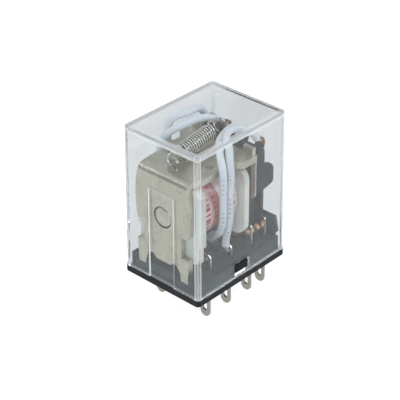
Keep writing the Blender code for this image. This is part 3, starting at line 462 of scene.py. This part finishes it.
def make_floor():
    """Pale lit floor, a little dimmer in reflections, so that plastic before it keeps its color."""
    mat, tree, shader = new_material("pale_floor", (0.3, 0.3, 0.3), 0.6, specular=0.1)
    cloud = speckle(tree, where(tree), 60, 3)
    tree.links.new(blend_colors(tree, cloud, (0.29, 0.29, 0.29), (0.31, 0.31, 0.31)),
                   shader.inputs["Base Color"])
    shader.inputs["Emission Color"].default_value = (1, 1, 1, 1)
    in_gloss = add(tree, "ShaderNodeLightPath").outputs["Is Glossy Ray"]
    tree.links.new(scaled(tree, in_gloss, -0.2, 0.92), shader.inputs["Emission Strength"])
    return mat


CLEAR = make_clear()
NICKEL = metal("nickel_plated_iron", (0.44, 0.425, 0.335), (0.74, 0.72, 0.6), 0.24,
               (1, 0.5, 0.5), 0.4, rolled=0.35)
shade_lug(NICKEL, (0.12, 0.115, 0.1))
ARMATURE_METAL = metal("armature_plate", (0.16, 0.13, 0.1), (0.3, 0.25, 0.19), 0.34,
                       (1, 1, 0.1), 0.6)
# painted highlight: the armature is lighter along its rear edge, beyond Y 5.72 mm
shade_past(ARMATURE_METAL, "Y", 5.72 * mm, 5.8 * mm, (0.62, 0.59, 0.51))
CORE_METAL = metal("core_iron", (0.46, 0.445, 0.36), (0.74, 0.72, 0.61), 0.22)
TINNED = metal("tinned_brass", (0.42, 0.42, 0.37), (0.72, 0.71, 0.65), 0.2, (0.12, 1, 1))
shade_past(TINNED, "Z", 2.0 * mm, -2.0 * mm, (0.26, 0.26, 0.23), 0.65)
WIRE = metal("bright_spring_wire", (0.78, 0.77, 0.7), (0.97, 0.96, 0.92), 0.14, wear=0.5)
shade_coil(WIRE, SPRING_FRONT, SPRING_REAR, 1.65 * mm, 1.75 * mm)
COPPER = metal("copper_contact", (0.98, 0.5, 0.26), (1.0, 0.78, 0.54), 0.12, wear=0.05,
               metallic=0.6)
STRIP = metal("rolled_copper_alloy", (0.5, 0.28, 0.18), (0.78, 0.49, 0.35), 0.27, (1, 1, 0.1),
              0.6)
# painted shade: the contact leaves are nearly black below 26 mm, a painted dark reflection of the
# shaded parts round them
shade_past(STRIP, "Z", 26.0 * mm, 21.0 * mm, (0.06, 0.05, 0.045), 0.9)
SOLDER = metal("solder", (0.42, 0.41, 0.38), (0.6, 0.59, 0.56), 0.24, wear=0.3)
STRANDS = metal("tinned_strands", (0.44, 0.34, 0.26), (0.66, 0.55, 0.45), 0.26, wear=0.4)
LEAD_OUT = metal("enamelled_lead_out", (0.42, 0.15, 0.06), (0.62, 0.28, 0.13), 0.28, wear=0.2)
SLATE = moulded("slate_phenolic", (0.01, 0.02, 0.028), (0.036, 0.055, 0.065), 0.45, 0.25,
                specular=0.16)
shade_noses(SLATE, (0.001, 0.001, 0.0012))
# painted shade: the base is darker at its rim, below 1.6 mm
shade_past(SLATE, "Z", 1.6 * mm, 1.2 * mm, (0.011, 0.012, 0.014), 0.9)
BLACK = moulded("black_phenolic", (0.008, 0.017, 0.022), (0.018, 0.032, 0.039), 0.42, 0.2,
                specular=0.16)
NYLON = moulded("natural_nylon", (0.68, 0.7, 0.65), (0.8, 0.82, 0.77), 0.4, 0.1, 0.1, 0.35)
# painted shade: the bobbin is darker towards its top, under the yoke
shade_past(NYLON, "Z", 21.5 * mm, 26.2 * mm, (0.3, 0.31, 0.28), 0.6)
# painted shade: the front flange is darker than the rest of the bobbin
shade_past(NYLON, "Y", -9.4 * mm, -9.6 * mm, (0.42, 0.45, 0.4), 0.45)
TAPE = make_tape()
SLEEVE = make_sleeve()
WINDING = make_winding()


# ------------------------------------------------------------------ shape helpers
def finish_mesh(bm, name, mat, smooth=30.0):
    """Makes the object; edges sharper than smooth degrees stay sharp."""
    bmesh.ops.recalc_face_normals(bm, faces=bm.faces[:])
    mesh = bpy.data.meshes.new(name)
    bm.to_mesh(mesh)
    bm.free()
    mesh.materials.append(mat)
    mesh.shade_smooth()
    mesh.set_sharp_from_angle(angle=math.radians(smooth))
    obj = bpy.data.objects.new(name, mesh)
    bpy.context.scene.collection.objects.link(obj)
    return obj


def place(obj, body, slot, *nodes):
    """Rides obj on its body and replaces the CAD nodes it stands for."""
    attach(obj, body)
    if nodes:
        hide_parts(*nodes)
    return obj


def apply_modifiers(obj):
    graph = bpy.context.evaluated_depsgraph_get()
    mesh = bpy.data.meshes.new_from_object(obj.evaluated_get(graph))
    obj.modifiers.clear()
    obj.data = mesh


def even_normals(obj):
    even = obj.modifiers.new("even", "WEIGHTED_NORMAL")
    even.keep_sharp = True


def eased(node, name, mat, width, body, slot, segments=2):
    """The CAD piece again, with its edges rounded over as moulding and stamping leave them."""
    bm = bmesh.new()
    bm.from_mesh(NODES[node].data)
    bmesh.ops.remove_doubles(bm, verts=bm.verts[:], dist=0.002 * mm)
    bmesh.ops.dissolve_limit(bm, angle_limit=math.radians(1.0), verts=bm.verts[:],
                             edges=bm.edges[:])
    obj = finish_mesh(bm, name, mat)
    bevel = obj.modifiers.new("edges", "BEVEL")
    bevel.width = width
    bevel.segments = segments
    bevel.limit_method = "ANGLE"
    bevel.angle_limit = math.radians(28.0)
    bevel.harden_normals = True
    bevel.use_clamp_overlap = True
    even_normals(obj)
    return place(obj, body, slot, node)


def smooth_route(points, per_span):
    """Points along a Catmull-Rom curve through the given points."""
    route = []
    last = len(points) - 1
    for index in range(last):
        before = points[max(index - 1, 0)]
        start = points[index]
        end = points[index + 1]
        after = points[min(index + 2, last)]
        for step in range(per_span):
            t = step / per_span
            route.append(0.5 * (2 * start + (end - before) * t
                                + (2 * before - 5 * start + 4 * end - after) * t * t
                                + (3 * start - before - 3 * end + after) * t * t * t))
    route.append(points[-1])
    return route


def heading(route, index):
    """The direction of a route at one of its points."""
    ahead = route[min(index + 1, len(route) - 1)]
    behind = route[max(index - 1, 0)]
    return (ahead - behind).normalized()


def square_to(forward, way):
    """The direction nearest to way that is square to forward."""
    return (way - forward * way.dot(forward)).normalized()


def join_rings(bm, one, two):
    """Quads between two closed rings with equally many points."""
    for index in range(len(one)):
        after = (index + 1) % len(one)
        bm.faces.new((one[index], one[after], two[after], two[index]))


def tube(bm, route, radius, sides, spin=0.0):
    """Adds a capped tube; radius is a number or a function of the share of the way along."""
    uv = bm.loops.layers.uv.verify()
    rings = []
    runs = [0.0]
    for one, two in zip(route, route[1:]):
        runs.append(runs[-1] + (two - one).length / mm)
    side_way = Vector((1.0, 0.0, 0.0))
    for index, point in enumerate(route):
        forward = heading(route, index)
        side_way = square_to(forward, side_way)
        up_way = forward.cross(side_way)
        size = radius(runs[index] / runs[-1]) if callable(radius) else radius
        ring = []
        for side in range(sides):
            angle = 2 * math.pi * side / sides + spin
            out = side_way * math.cos(angle) + up_way * math.sin(angle)
            ring.append(bm.verts.new(point + out * size))
        rings.append(ring)
    for at, (one, two) in enumerate(zip(rings, rings[1:])):
        here, there = runs[at], runs[at + 1]
        for side in range(sides):
            after = (side + 1) % sides
            face = bm.faces.new((one[side], one[after], two[after], two[side]))
            spots = ((here, side), (here, side + 1), (there, side + 1), (there, side))
            for loop, (run, around) in zip(face.loops, spots):
                loop[uv].uv = (run, around / sides)
    bm.faces.new(rings[0])
    bm.faces.new(rings[-1])


def turned(profile, sides, centre):
    """Turns (radius, along) points about a line along Y through centre."""
    bm = bmesh.new()
    rings = []
    for radius, along in profile:
        ring = []
        for side in range(1 if radius < 1e-9 else sides):
            angle = 2 * math.pi * side / sides
            spot = (radius * math.cos(angle), along, radius * math.sin(angle))
            ring.append(bm.verts.new(Vector(spot) + centre))
        rings.append(ring)
    pairs = list(zip(rings, rings[1:]))
    if len(rings[0]) > 1:
        pairs.append((rings[-1], rings[0]))
    for one, two in pairs:
        for side in range(sides):
            after = (side + 1) % sides
            corners = [one[side % len(one)], one[after % len(one)],
                       two[after % len(two)], two[side % len(two)]]
            bm.faces.new(list(dict.fromkeys(corners)))
    return bm


def solder(name, centre, size, seed, body):
    """A rounded lump of solder, squashed to size and slightly uneven."""
    bm = bmesh.new()
    made = bmesh.ops.create_icosphere(bm, subdivisions=3, radius=1.0)
    for vert in made["verts"]:
        lump = 1 + 0.12 * noise.noise(vert.co * 1.7 + Vector((seed, 0, 0)))
        squashed = Vector((vert.co.x * size[0], vert.co.y * size[1], vert.co.z * size[2]))
        vert.co = squashed * lump + centre
    place(finish_mesh(bm, name, SOLDER, 60), body, "terminal_metal")


# ------------------------------------------------------------------ cover
def rounded_outline(half_x, half_y, radius, steps):
    points = []
    for sign_x, sign_y, start in ((1, 1, 0), (-1, 1, 90), (-1, -1, 180), (1, -1, 270)):
        for step in range(steps + 1):
            angle = math.radians(start + 90 * step / steps)
            points.append((sign_x * (half_x - radius) + radius * math.cos(angle),
                           sign_y * (half_y - radius) + radius * math.sin(angle)))
    return points


def cover_ring(bm, z, inset, radius, depth=0.0):
    """One level of the cover, with the channel sunk to a share of its full depth."""
    slope = COVER_DRAFT * (z - COVER_BOTTOM) / (COVER_TOP - COVER_BOTTOM)
    half_x = COVER_HALF_X - slope - inset
    half_y = COVER_HALF_Y - slope - inset
    outline = rounded_outline(half_x, half_y, radius, OUTLINE_STEPS)
    channel_at = 3 * (OUTLINE_STEPS + 1)
    level = -half_y
    deep = level + (CHANNEL_FLOOR_Y - level) * depth
    notch = [(-CHANNEL_HALF - 0.1 * mm, level),
             (-CHANNEL_HALF - 0.02 * mm, (level + deep) / 2),
             (-CHANNEL_HALF + 0.04 * mm, deep)]
    notch += [(-x, y) for x, y in reversed(notch)]
    points = outline[:channel_at] + notch + outline[channel_at:]
    return [bm.verts.new((x, y, z)) for x, y in points]


def cut_windows(cover):
    """Cuts a latch window with bevelled sides through each long side."""
    half_y, half_z, middle_z = 2.42, 1.5, 3.7
    corners = ((-1, -1), (1, -1), (1, 1), (-1, 1))
    bm = bmesh.new()
    for side in (-1, 1):
        rings = []
        for x, grow in ((9.4, -0.36), (10.1, -0.3), (10.95, 0.1)):
            rings.append([bm.verts.new((side * x * mm, y * (half_y + grow) * mm,
                                        (middle_z + z * (half_z + grow)) * mm))
                          for y, z in corners])
        bm.faces.new(rings[0])
        bm.faces.new(rings[-1])
        for one, two in zip(rings, rings[1:]):
            join_rings(bm, one, two)
    tool = finish_mesh(bm, "window_tool", CLEAR)
    cut = cover.modifiers.new("windows", "BOOLEAN")
    cut.operation = "DIFFERENCE"
    cut.solver = "EXACT"
    cut.object = tool
    apply_modifiers(cover)
    bpy.data.objects.remove(tool)


def build_cover():
    """One closed solid: up the outside, over the top edge, and back down the inside."""
    sharp_edge = 35
    low, lip_top = COVER_BOTTOM, COVER_BOTTOM + 0.5 * mm
    bm = bmesh.new()
    rings = [cover_ring(bm, low, COVER_WALL, 0.3 * mm),
             cover_ring(bm, low, 0.1 * mm, COVER_TOP_CORNER, 0.95),
             cover_ring(bm, low + 0.1 * mm, 0.0, COVER_CORNER, 1.0),
             cover_ring(bm, low + 0.4 * mm, 0.0, COVER_CORNER, 1.0),
             cover_ring(bm, lip_top, 0.13 * mm, COVER_CORNER, 1.0),
             cover_ring(bm, COVER_MIDDLE, 0.125 * mm, COVER_CORNER, 1.0),
             cover_ring(bm, CHANNEL_TOP - 0.22 * mm, ABOVE_LIP, COVER_CORNER, 1.0),
             cover_ring(bm, CHANNEL_TOP, ABOVE_LIP, COVER_CORNER)]
    edge_steps = 5
    for step in range(edge_steps + 1):
        angle = math.radians(90 * step / edge_steps)
        z = COVER_TOP - COVER_TOP_EDGE + COVER_TOP_EDGE * math.sin(angle)
        inset = ABOVE_LIP + COVER_TOP_EDGE * (1 - math.cos(angle))
        rings.append(cover_ring(bm, z, inset, COVER_TOP_CORNER))
    roof = COVER_TOP - COVER_ROOF
    inner = [cover_ring(bm, roof, COVER_WALL + 0.3 * mm, 0.3 * mm),
             cover_ring(bm, roof - 0.09 * mm, COVER_WALL + 0.09 * mm, 0.35 * mm),
             cover_ring(bm, roof - 0.3 * mm, COVER_WALL, 0.4 * mm),
             cover_ring(bm, COVER_MIDDLE, COVER_WALL, 0.4 * mm)]
    for chain in (rings, inner + rings[:1]):
        for one, two in zip(chain, chain[1:]):
            join_rings(bm, one, two)
    bm.faces.new(rings[-1])
    bm.faces.new(inner[0])
    cover = finish_mesh(bm, "clear_cover", CLEAR, sharp_edge)
    cut_windows(cover)
    cover.data.shade_smooth()
    cover.data.set_sharp_from_angle(angle=math.radians(sharp_edge))
    even_normals(cover)
    place(cover, BODY, "clear_cover", "cover")


# ------------------------------------------------------------------ coil and iron
def build_iron():
    eased("yoke", "yoke_plate", NICKEL, 0.13 * mm, BODY, "plated_iron", 3)
    eased("armature", "armature_plate", ARMATURE_METAL, 0.12 * mm, ARM, "armature_iron", 3)


def build_core():
    """A rod with a neck through the yoke, riveted over to a low dome at the front."""
    face, shoulder, pole = -12.91 * mm, -11.35 * mm, 3.95 * mm
    neck, rod = 2.4 * mm, 3.0 * mm
    dome = ((0.0, 0.03), (0.9, 0.0), (1.6, 0.02), (1.95, 0.07), (2.15, 0.16), (2.26, 0.3),
            (2.3, 0.6))
    profile = [(radius * mm, face + back * mm) for radius, back in dome]
    profile += [(neck, -12.0 * mm), (neck, shoulder), (rod, shoulder), (rod, pole - 0.05 * mm),
                (rod - 0.05 * mm, pole), (0.0, pole)]
    bm = turned(profile, 56, Vector((0, 0, COIL_Z)))
    place(finish_mesh(bm, "core_rod", CORE_METAL, 35), BODY, "plated_iron", "core")


def build_winding():
    """The bobbin, and the winding as a tube with ridges for its turns."""
    eased("bobbin", "bobbin_moulding", NYLON, 0.16 * mm, BODY, "bobbin_nylon", 3)
    turns = 100
    ridge = 0.03 * mm
    inset = 0.12 * mm
    low, high = COIL_FRONT_Y + inset, COIL_REAR_Y - inset
    profile = []
    for step in range(turns + 1):
        y = low + (high - low) * step / turns
        profile.append((WINDING_RADIUS + ridge * (step % 2), y))
    profile += [(WINDING_BORE, high), (WINDING_BORE, low)]
    bm = turned(profile, 64, Vector((0, 0, COIL_Z)))
    place(finish_mesh(bm, "winding_turns", WINDING, 80), BODY, "winding_copper", "coil_winding")


def build_tape():
    """A thin tube, slightly wavy, with the step where the tape laps over itself."""
    sides, rows = 96, 14
    inset = 0.22 * mm
    lap, waviness = 0.05 * mm, 0.018 * mm
    low, high = COIL_FRONT_Y + inset, COIL_REAR_Y - inset

    def spot(radius, angle, y):
        return (radius * math.sin(angle), y, COIL_Z + radius * math.cos(angle))

    bm = bmesh.new()
    outer, inner = [], []
    for row in range(rows + 1):
        y = low + (high - low) * row / rows
        ring_out, ring_in = [], []
        for side in range(sides):
            angle = 2 * math.pi * side / sides
            place_on_tape = Vector((math.sin(angle), y / (6 * mm), math.cos(angle)))
            wave = waviness * noise.noise(place_on_tape * 2.6)
            radius = TAPE_RADIUS + lap * (side / sides) + wave
            ring_out.append(bm.verts.new(spot(radius, angle, y)))
            ring_in.append(bm.verts.new(spot(TAPE_BORE, angle, y)))
        outer.append(ring_out)
        inner.append(ring_in)
    for rings in (outer, inner):
        for one, two in zip(rings, rings[1:]):
            join_rings(bm, one, two)
    for end in (0, -1):
        join_rings(bm, outer[end], inner[end])
    place(finish_mesh(bm, "printed_tape", TAPE, 40), BODY, "coil_tape", "coil_tape")


def build_lead_outs():
    """The winding's two ends, each soldered to a coil blade."""
    path = ((5.2, -9.25, 12.4), (5.9, -8.7, 10.6), (6.6, -7.85, 9.2), (6.6, -7.7, 7.2))
    for index, side in ((1, -1), (2, 1)):
        route = smooth_route([Vector((side * x, y, z)) * mm for x, y, z in path], 10)
        bm = bmesh.new()
        tube(bm, route, 0.13 * mm, 12)
        place(finish_mesh(bm, f"lead_out_{index}", LEAD_OUT, 50), BODY, "winding_copper",
              f"coil_lead_{index}")
        centre = Vector((side * 6.6 * mm, -7.62 * mm, 7.5 * mm))
        solder(f"coil_solder_{index}", centre, (0.55 * mm, 0.17 * mm, 0.5 * mm), index, BODY)


# ------------------------------------------------------------------ return spring
def hook(centre, first, last, count):
    """Points round a hook, whose ring is turned a little about the spring's long axis."""
    turn = math.radians(30)
    up_way = Vector((-math.sin(turn), 0.0, math.cos(turn)))
    points = []
    for step in range(count):
        angle = math.radians(first + (last - first) * step / (count - 1))
        ring = Vector((0.0, math.cos(angle), 0.0)) + up_way * math.sin(angle)
        points.append(centre + ring * HOOK_RADIUS)
    return points


def bridge(one, two, lean_one, lean_two, steps):
    """Points on a Bezier curve between two places, which sets off and arrives along the leans."""
    path = []
    for step in range(1, steps):
        t = step / steps
        a = (1 - t) ** 3
        b = 3 * t * (1 - t) ** 2
        c = 3 * t * t * (1 - t)
        path.append(one * a + (one + lean_one) * b + (two - lean_two) * c + two * t ** 3)
    return path


def build_spring():
    """Close-wound return spring with a hook at each end, in fine round wire."""
    per_turn = 32
    hook_points = 36
    axis = SPRING_REAR - SPRING_FRONT
    across = Vector((1.0, 0.0, 0.0))
    up = across.cross(axis.normalized())
    steps = SPRING_TURNS * per_turn
    coils = []
    for step in range(steps + 1):
        angle = 2 * math.pi * step / per_turn + math.pi / 2
        around = across * math.cos(angle) + up * math.sin(angle)
        coils.append(SPRING_FRONT + axis * (step / steps) + around * SPRING_RADIUS)
    near = hook(Vector((-0.58, -8.75, 29.5)) * mm, -30, -330, hook_points)
    far = hook(Vector((-0.63, 4.9, 31.35)) * mm, 150, 450, hook_points)
    leave = (near[-1] - near[-2]).normalized() * 0.45 * mm
    arrive = (coils[1] - coils[0]).normalized() * 0.7 * mm
    route = near + bridge(near[-1], coils[0], leave, arrive, 8) + coils
    leave = (coils[-1] - coils[-2]).normalized() * 1.1 * mm
    arrive = (far[1] - far[0]).normalized() * 0.8 * mm
    route += bridge(coils[-1], far[0], leave, arrive, 14) + far
    bm = bmesh.new()
    tube(bm, route, SPRING_WIRE, 12)
    spring = finish_mesh(bm, "spring_wire", WIRE, 60)
    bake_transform(spring)
    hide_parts("return_spring")


# ------------------------------------------------------------------ contacts and terminals
def rivet(low_radius, high_radius, levels, centre):
    """A rivet along Y; levels are its low tip, the sheet's two faces and its high tip."""
    low_y, sheet_low, sheet_high, high_y = levels
    shank = 0.34 * mm
    gap = 0.03 * mm
    steps = 5

    def head(radius, tip, sheet, way):
        crown = min(0.3 * mm, abs(sheet - tip) * 0.55)
        rows = []
        for step in range(steps + 1):
            angle = math.radians(90 * step / steps)
            rows.append((radius * math.sin(angle) if step else 0.0,
                         tip + way * crown * (1 - math.cos(angle))))
        rows.append((radius, sheet - way * gap))
        return rows

    profile = head(low_radius, low_y, sheet_low, 1)
    profile += [(shank, sheet_low - gap), (shank, sheet_high + gap)]
    profile += list(reversed(head(high_radius, high_y, sheet_high, -1)))
    return turned(profile, 32, centre)


def build_contacts():
    small, full = 0.66 * mm, 0.78 * mm
    kinds = (("open_contact", "no_contact", BODY, small, full, (5.35, 5.8, 6.3, 7.4)),
             ("closed_contact", "nc_contact", BODY, full, small, (9.88, 10.35, 10.85, 11.3)),
             ("swing_contact", "moving_contact", ARM, full, full, (8.275, 8.975, 9.125, 9.825)))
    for index, x in enumerate(POLE_X, 1):
        for name, node, body, low_radius, high_radius, levels in kinds:
            bm = rivet(low_radius, high_radius, [y * mm for y in levels],
                       Vector((x, 0, CONTACT_Z)))
            place(finish_mesh(bm, f"{name}_{index}", COPPER, 40), body, "contact_metal",
                  f"{node}_{index}")
        eased(f"moving_spring_{index}", f"contact_leaf_{index}", STRIP, 0.03 * mm, ARM,
              "contact_spring")
        for kind in ("common", "no", "nc"):
            build_blade(f"{kind}_terminal_{index}", f"{kind}_blade_{index}")
    for index in (1, 2):
        build_blade(f"coil_terminal_{index}", f"coil_blade_{index}")


def build_blade(node, name):
    eased(node, name, TINNED, 0.07 * mm, BODY, "terminal_metal")


# ------------------------------------------------------------------ leads
def lead_points(x):
    """A lead's route, from its common blade up beside the coil and over to the moving spring."""
    side = 1 if x > 0 else -1
    blade_y, half_blade, strands, gap = -0.7, 0.25, 0.34, 0.08
    foot_y = blade_y - half_blade - strands - gap
    px = x / mm
    if abs(px) > 5:
        middle = [(6.9, -1.5, 10.2), (7.8, -1.8, 13.4), (8.6, -2.3, 17.0), (8.65, -2.5, 21.5),
                  (8.6, -2.1, 25.5), (8.6, -2.4, 29.4), (8.1, -2.1, 32.1), (6.8, -1.1, 33.55),
                  (5.9, 1.2, 33.75), (6.3, 3.9, 33.4), (7.0, 6.2, 32.2), (7.0, 7.7, 30.5)]
    else:
        middle = [(3.5, -1.9, 9.7), (5.7, -3.0, 11.2), (7.4, -3.8, 13.4), (8.5, -4.3, 17.0),
                  (8.65, -4.5, 21.5), (8.6, -4.4, 25.8), (8.2, -4.25, 28.8), (6.6, -3.2, 30.9),
                  (4.9, -0.9, 32.0), (4.0, 2.2, 32.5), (3.1, 5.2, 31.9), (2.2, 7.7, 30.3)]
    points = [Vector((px, foot_y, 6.6)), Vector((px, foot_y, 7.9))]
    points += [Vector((side * a, b, c)) for a, b, c in middle]
    points.append(Vector((px, 8.75, 29.35)))
    return [p * mm for p in points]


def sleeve_radius(t):
    """The sleeve flares a little at both ends."""
    ends = math.exp(-((t * 40) ** 2)), math.exp(-(((1 - t) * 40) ** 2))
    return (0.81 + (0.04 * ends[0] + 0.04 * ends[1])) * mm


def strand(bm, path, swing, offset):
    """One strand of the bare wire, twisted round the path."""
    twisted = []
    for step, point in enumerate(path):
        forward = heading(path, step)
        one = square_to(forward, Vector((1, 0, 0)))
        two = forward.cross(one)
        angle = swing + step * 0.28
        twisted.append(point + (one * math.cos(angle) + two * math.sin(angle)) * offset)
    tube(bm, twisted, 0.105 * mm, 6)


def build_leads():
    per_span = 9
    outer_strands = 6
    for index, x in enumerate(POLE_X, 1):
        route = smooth_route(lead_points(x), per_span)
        first, last = per_span, len(route) - 1 - per_span
        bm = bmesh.new()
        tube(bm, route[first:last + 1], sleeve_radius, 20, 2.32 if x > 0 else 0.6 + index)
        lead = finish_mesh(bm, f"sleeve_{index}", SLEEVE, 50)
        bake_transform(lead)
        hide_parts(f"lead_{index}")

        bm = bmesh.new()
        for number in range(outer_strands + 1):
            offset = 0.0 if number == outer_strands else 0.21 * mm
            for path in (route[:first + 2], route[last - 1:]):
                strand(bm, path, 2 * math.pi * number / outer_strands, offset)
        strands = finish_mesh(bm, f"strands_{index}", STRANDS, 60)
        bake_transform(strands)

        foot = Vector((x, -1.12 * mm, 6.75 * mm))
        solder(f"foot_solder_{index}", foot, (0.75 * mm, 0.34 * mm, 0.62 * mm), index, BODY)
        tail = Vector((x, 9.1 * mm, 29.25 * mm))
        solder(f"tail_solder_{index}", tail, (0.6 * mm, 0.42 * mm, 0.4 * mm), index + 7, ARM)


def build_mouldings():
    eased("base", "base_moulding", SLATE, 0.14 * mm, BODY, "base_moulding", 3)
    eased("moving_block", "contact_carrier", BLACK, 0.2 * mm, ARM, "moving_moulding", 3)


# ------------------------------------------------------------------ stage
def build_floor():
    bm = bmesh.new()
    bmesh.ops.create_grid(bm, x_segments=2, y_segments=2, size=1.6)
    bmesh.ops.translate(bm, vec=(0, 0, FLOOR_Z), verts=bm.verts[:])
    floor = finish_mesh(bm, "floor", make_floor())


def build_world():
    """A studio that is brighter behind the object and overhead."""
    world = bpy.data.worlds.new("studio")
    bpy.context.scene.world = world
    world.use_nodes = True
    tree = world.node_tree
    back = tree.nodes["Background"]
    way = add(tree, "ShaderNodeTexCoord").outputs["Generated"]
    toward = add(tree, "ShaderNodeVectorMath", {0: way, 1: (-0.68, 0.73, 0.0)},
                 operation="DOT_PRODUCT").outputs["Value"]
    color = blend_colors(tree, spread(tree, toward, -0.3, 0.75),
                         (0.1, 0.105, 0.12), (0.46, 0.46, 0.46))
    height = add(tree, "ShaderNodeSeparateXYZ", {0: way}).outputs["Z"]
    color = blend_colors(tree, spread(tree, height, 0.68, 0.9), color, (0.75, 0.75, 0.75))
    tree.links.new(color, back.inputs["Color"])
    back.inputs["Strength"].default_value = 1.0


def lamp(name, spot, size, power):
    """An area light of this size, aimed at the middle of the object."""
    data = bpy.data.lights.new(name, "AREA")
    data.shape = "RECTANGLE"
    data.size, data.size_y = size
    data.energy = power
    obj = bpy.data.objects.new(name, data)
    obj.location = spot
    aim = Vector((0, 0, 0.014)) - Vector(spot)
    obj.rotation_euler = aim.to_track_quat("-Z", "Y").to_euler()
    bpy.context.scene.collection.objects.link(obj)


def build_stage():
    build_floor()
    build_world()
    lamp("overhead", (-0.02, 0.05, 0.5), (0.26, 0.26), 0.4)
    lamp("front_box", (0.2, -0.42, 0.2), (0.16, 0.3), 0.5)
    lamp("left_box", (-0.42, -0.22, 0.3), (0.08, 0.26), 0.35)
    lamp("right_box", (0.42, -0.12, 0.26), (0.1, 0.3), 0.45)
    lamp("back_box", (0.3, 0.36, 0.33), (0.07, 0.2), 0.35)


def build_camera():
    """The photograph's viewing angle, as fitted to the body's corners."""
    azimuth, elevation, roll = math.radians(42.83), math.radians(31.66), math.radians(-0.30)
    distance, aside, below = 301.9, -1.16, -1.90
    back = Vector((math.sin(azimuth) * math.cos(elevation),
                   -math.cos(azimuth) * math.cos(elevation), math.sin(elevation)))
    right = Vector((math.cos(azimuth), math.sin(azimuth), 0))
    up = back.cross(right)
    data = bpy.data.cameras.new("camera")
    data.sensor_width = 36.0
    data.lens = 127.881
    data.clip_start = 0.02
    data.clip_end = 20
    camera = bpy.data.objects.new("camera", data)
    turned_right = right * math.cos(roll) + up * math.sin(roll)
    turned_up = up * math.cos(roll) - right * math.sin(roll)
    spot = (Vector((0, 0, 18)) + back * distance + right * aside + up * below) * mm
    camera.matrix_world = Matrix((
        (turned_right.x, turned_up.x, back.x, spot.x),
        (turned_right.y, turned_up.y, back.y, spot.y),
        (turned_right.z, turned_up.z, back.z, spot.z),
        (0, 0, 0, 1)))
    scene = bpy.context.scene
    scene.collection.objects.link(camera)
    scene.camera = camera
    scene.view_settings.view_transform = "Standard"
    scene.view_settings.look = "None"
    # the light passes many clear walls
    scene.cycles.max_bounces = 48
    scene.cycles.transmission_bounces = 48
    scene.cycles.glossy_bounces = 24


build_camera()
build_stage()
build_cover()
build_iron()
build_core()
build_winding()
build_tape()
build_lead_outs()
build_spring()
build_contacts()
build_leads()
build_mouldings()
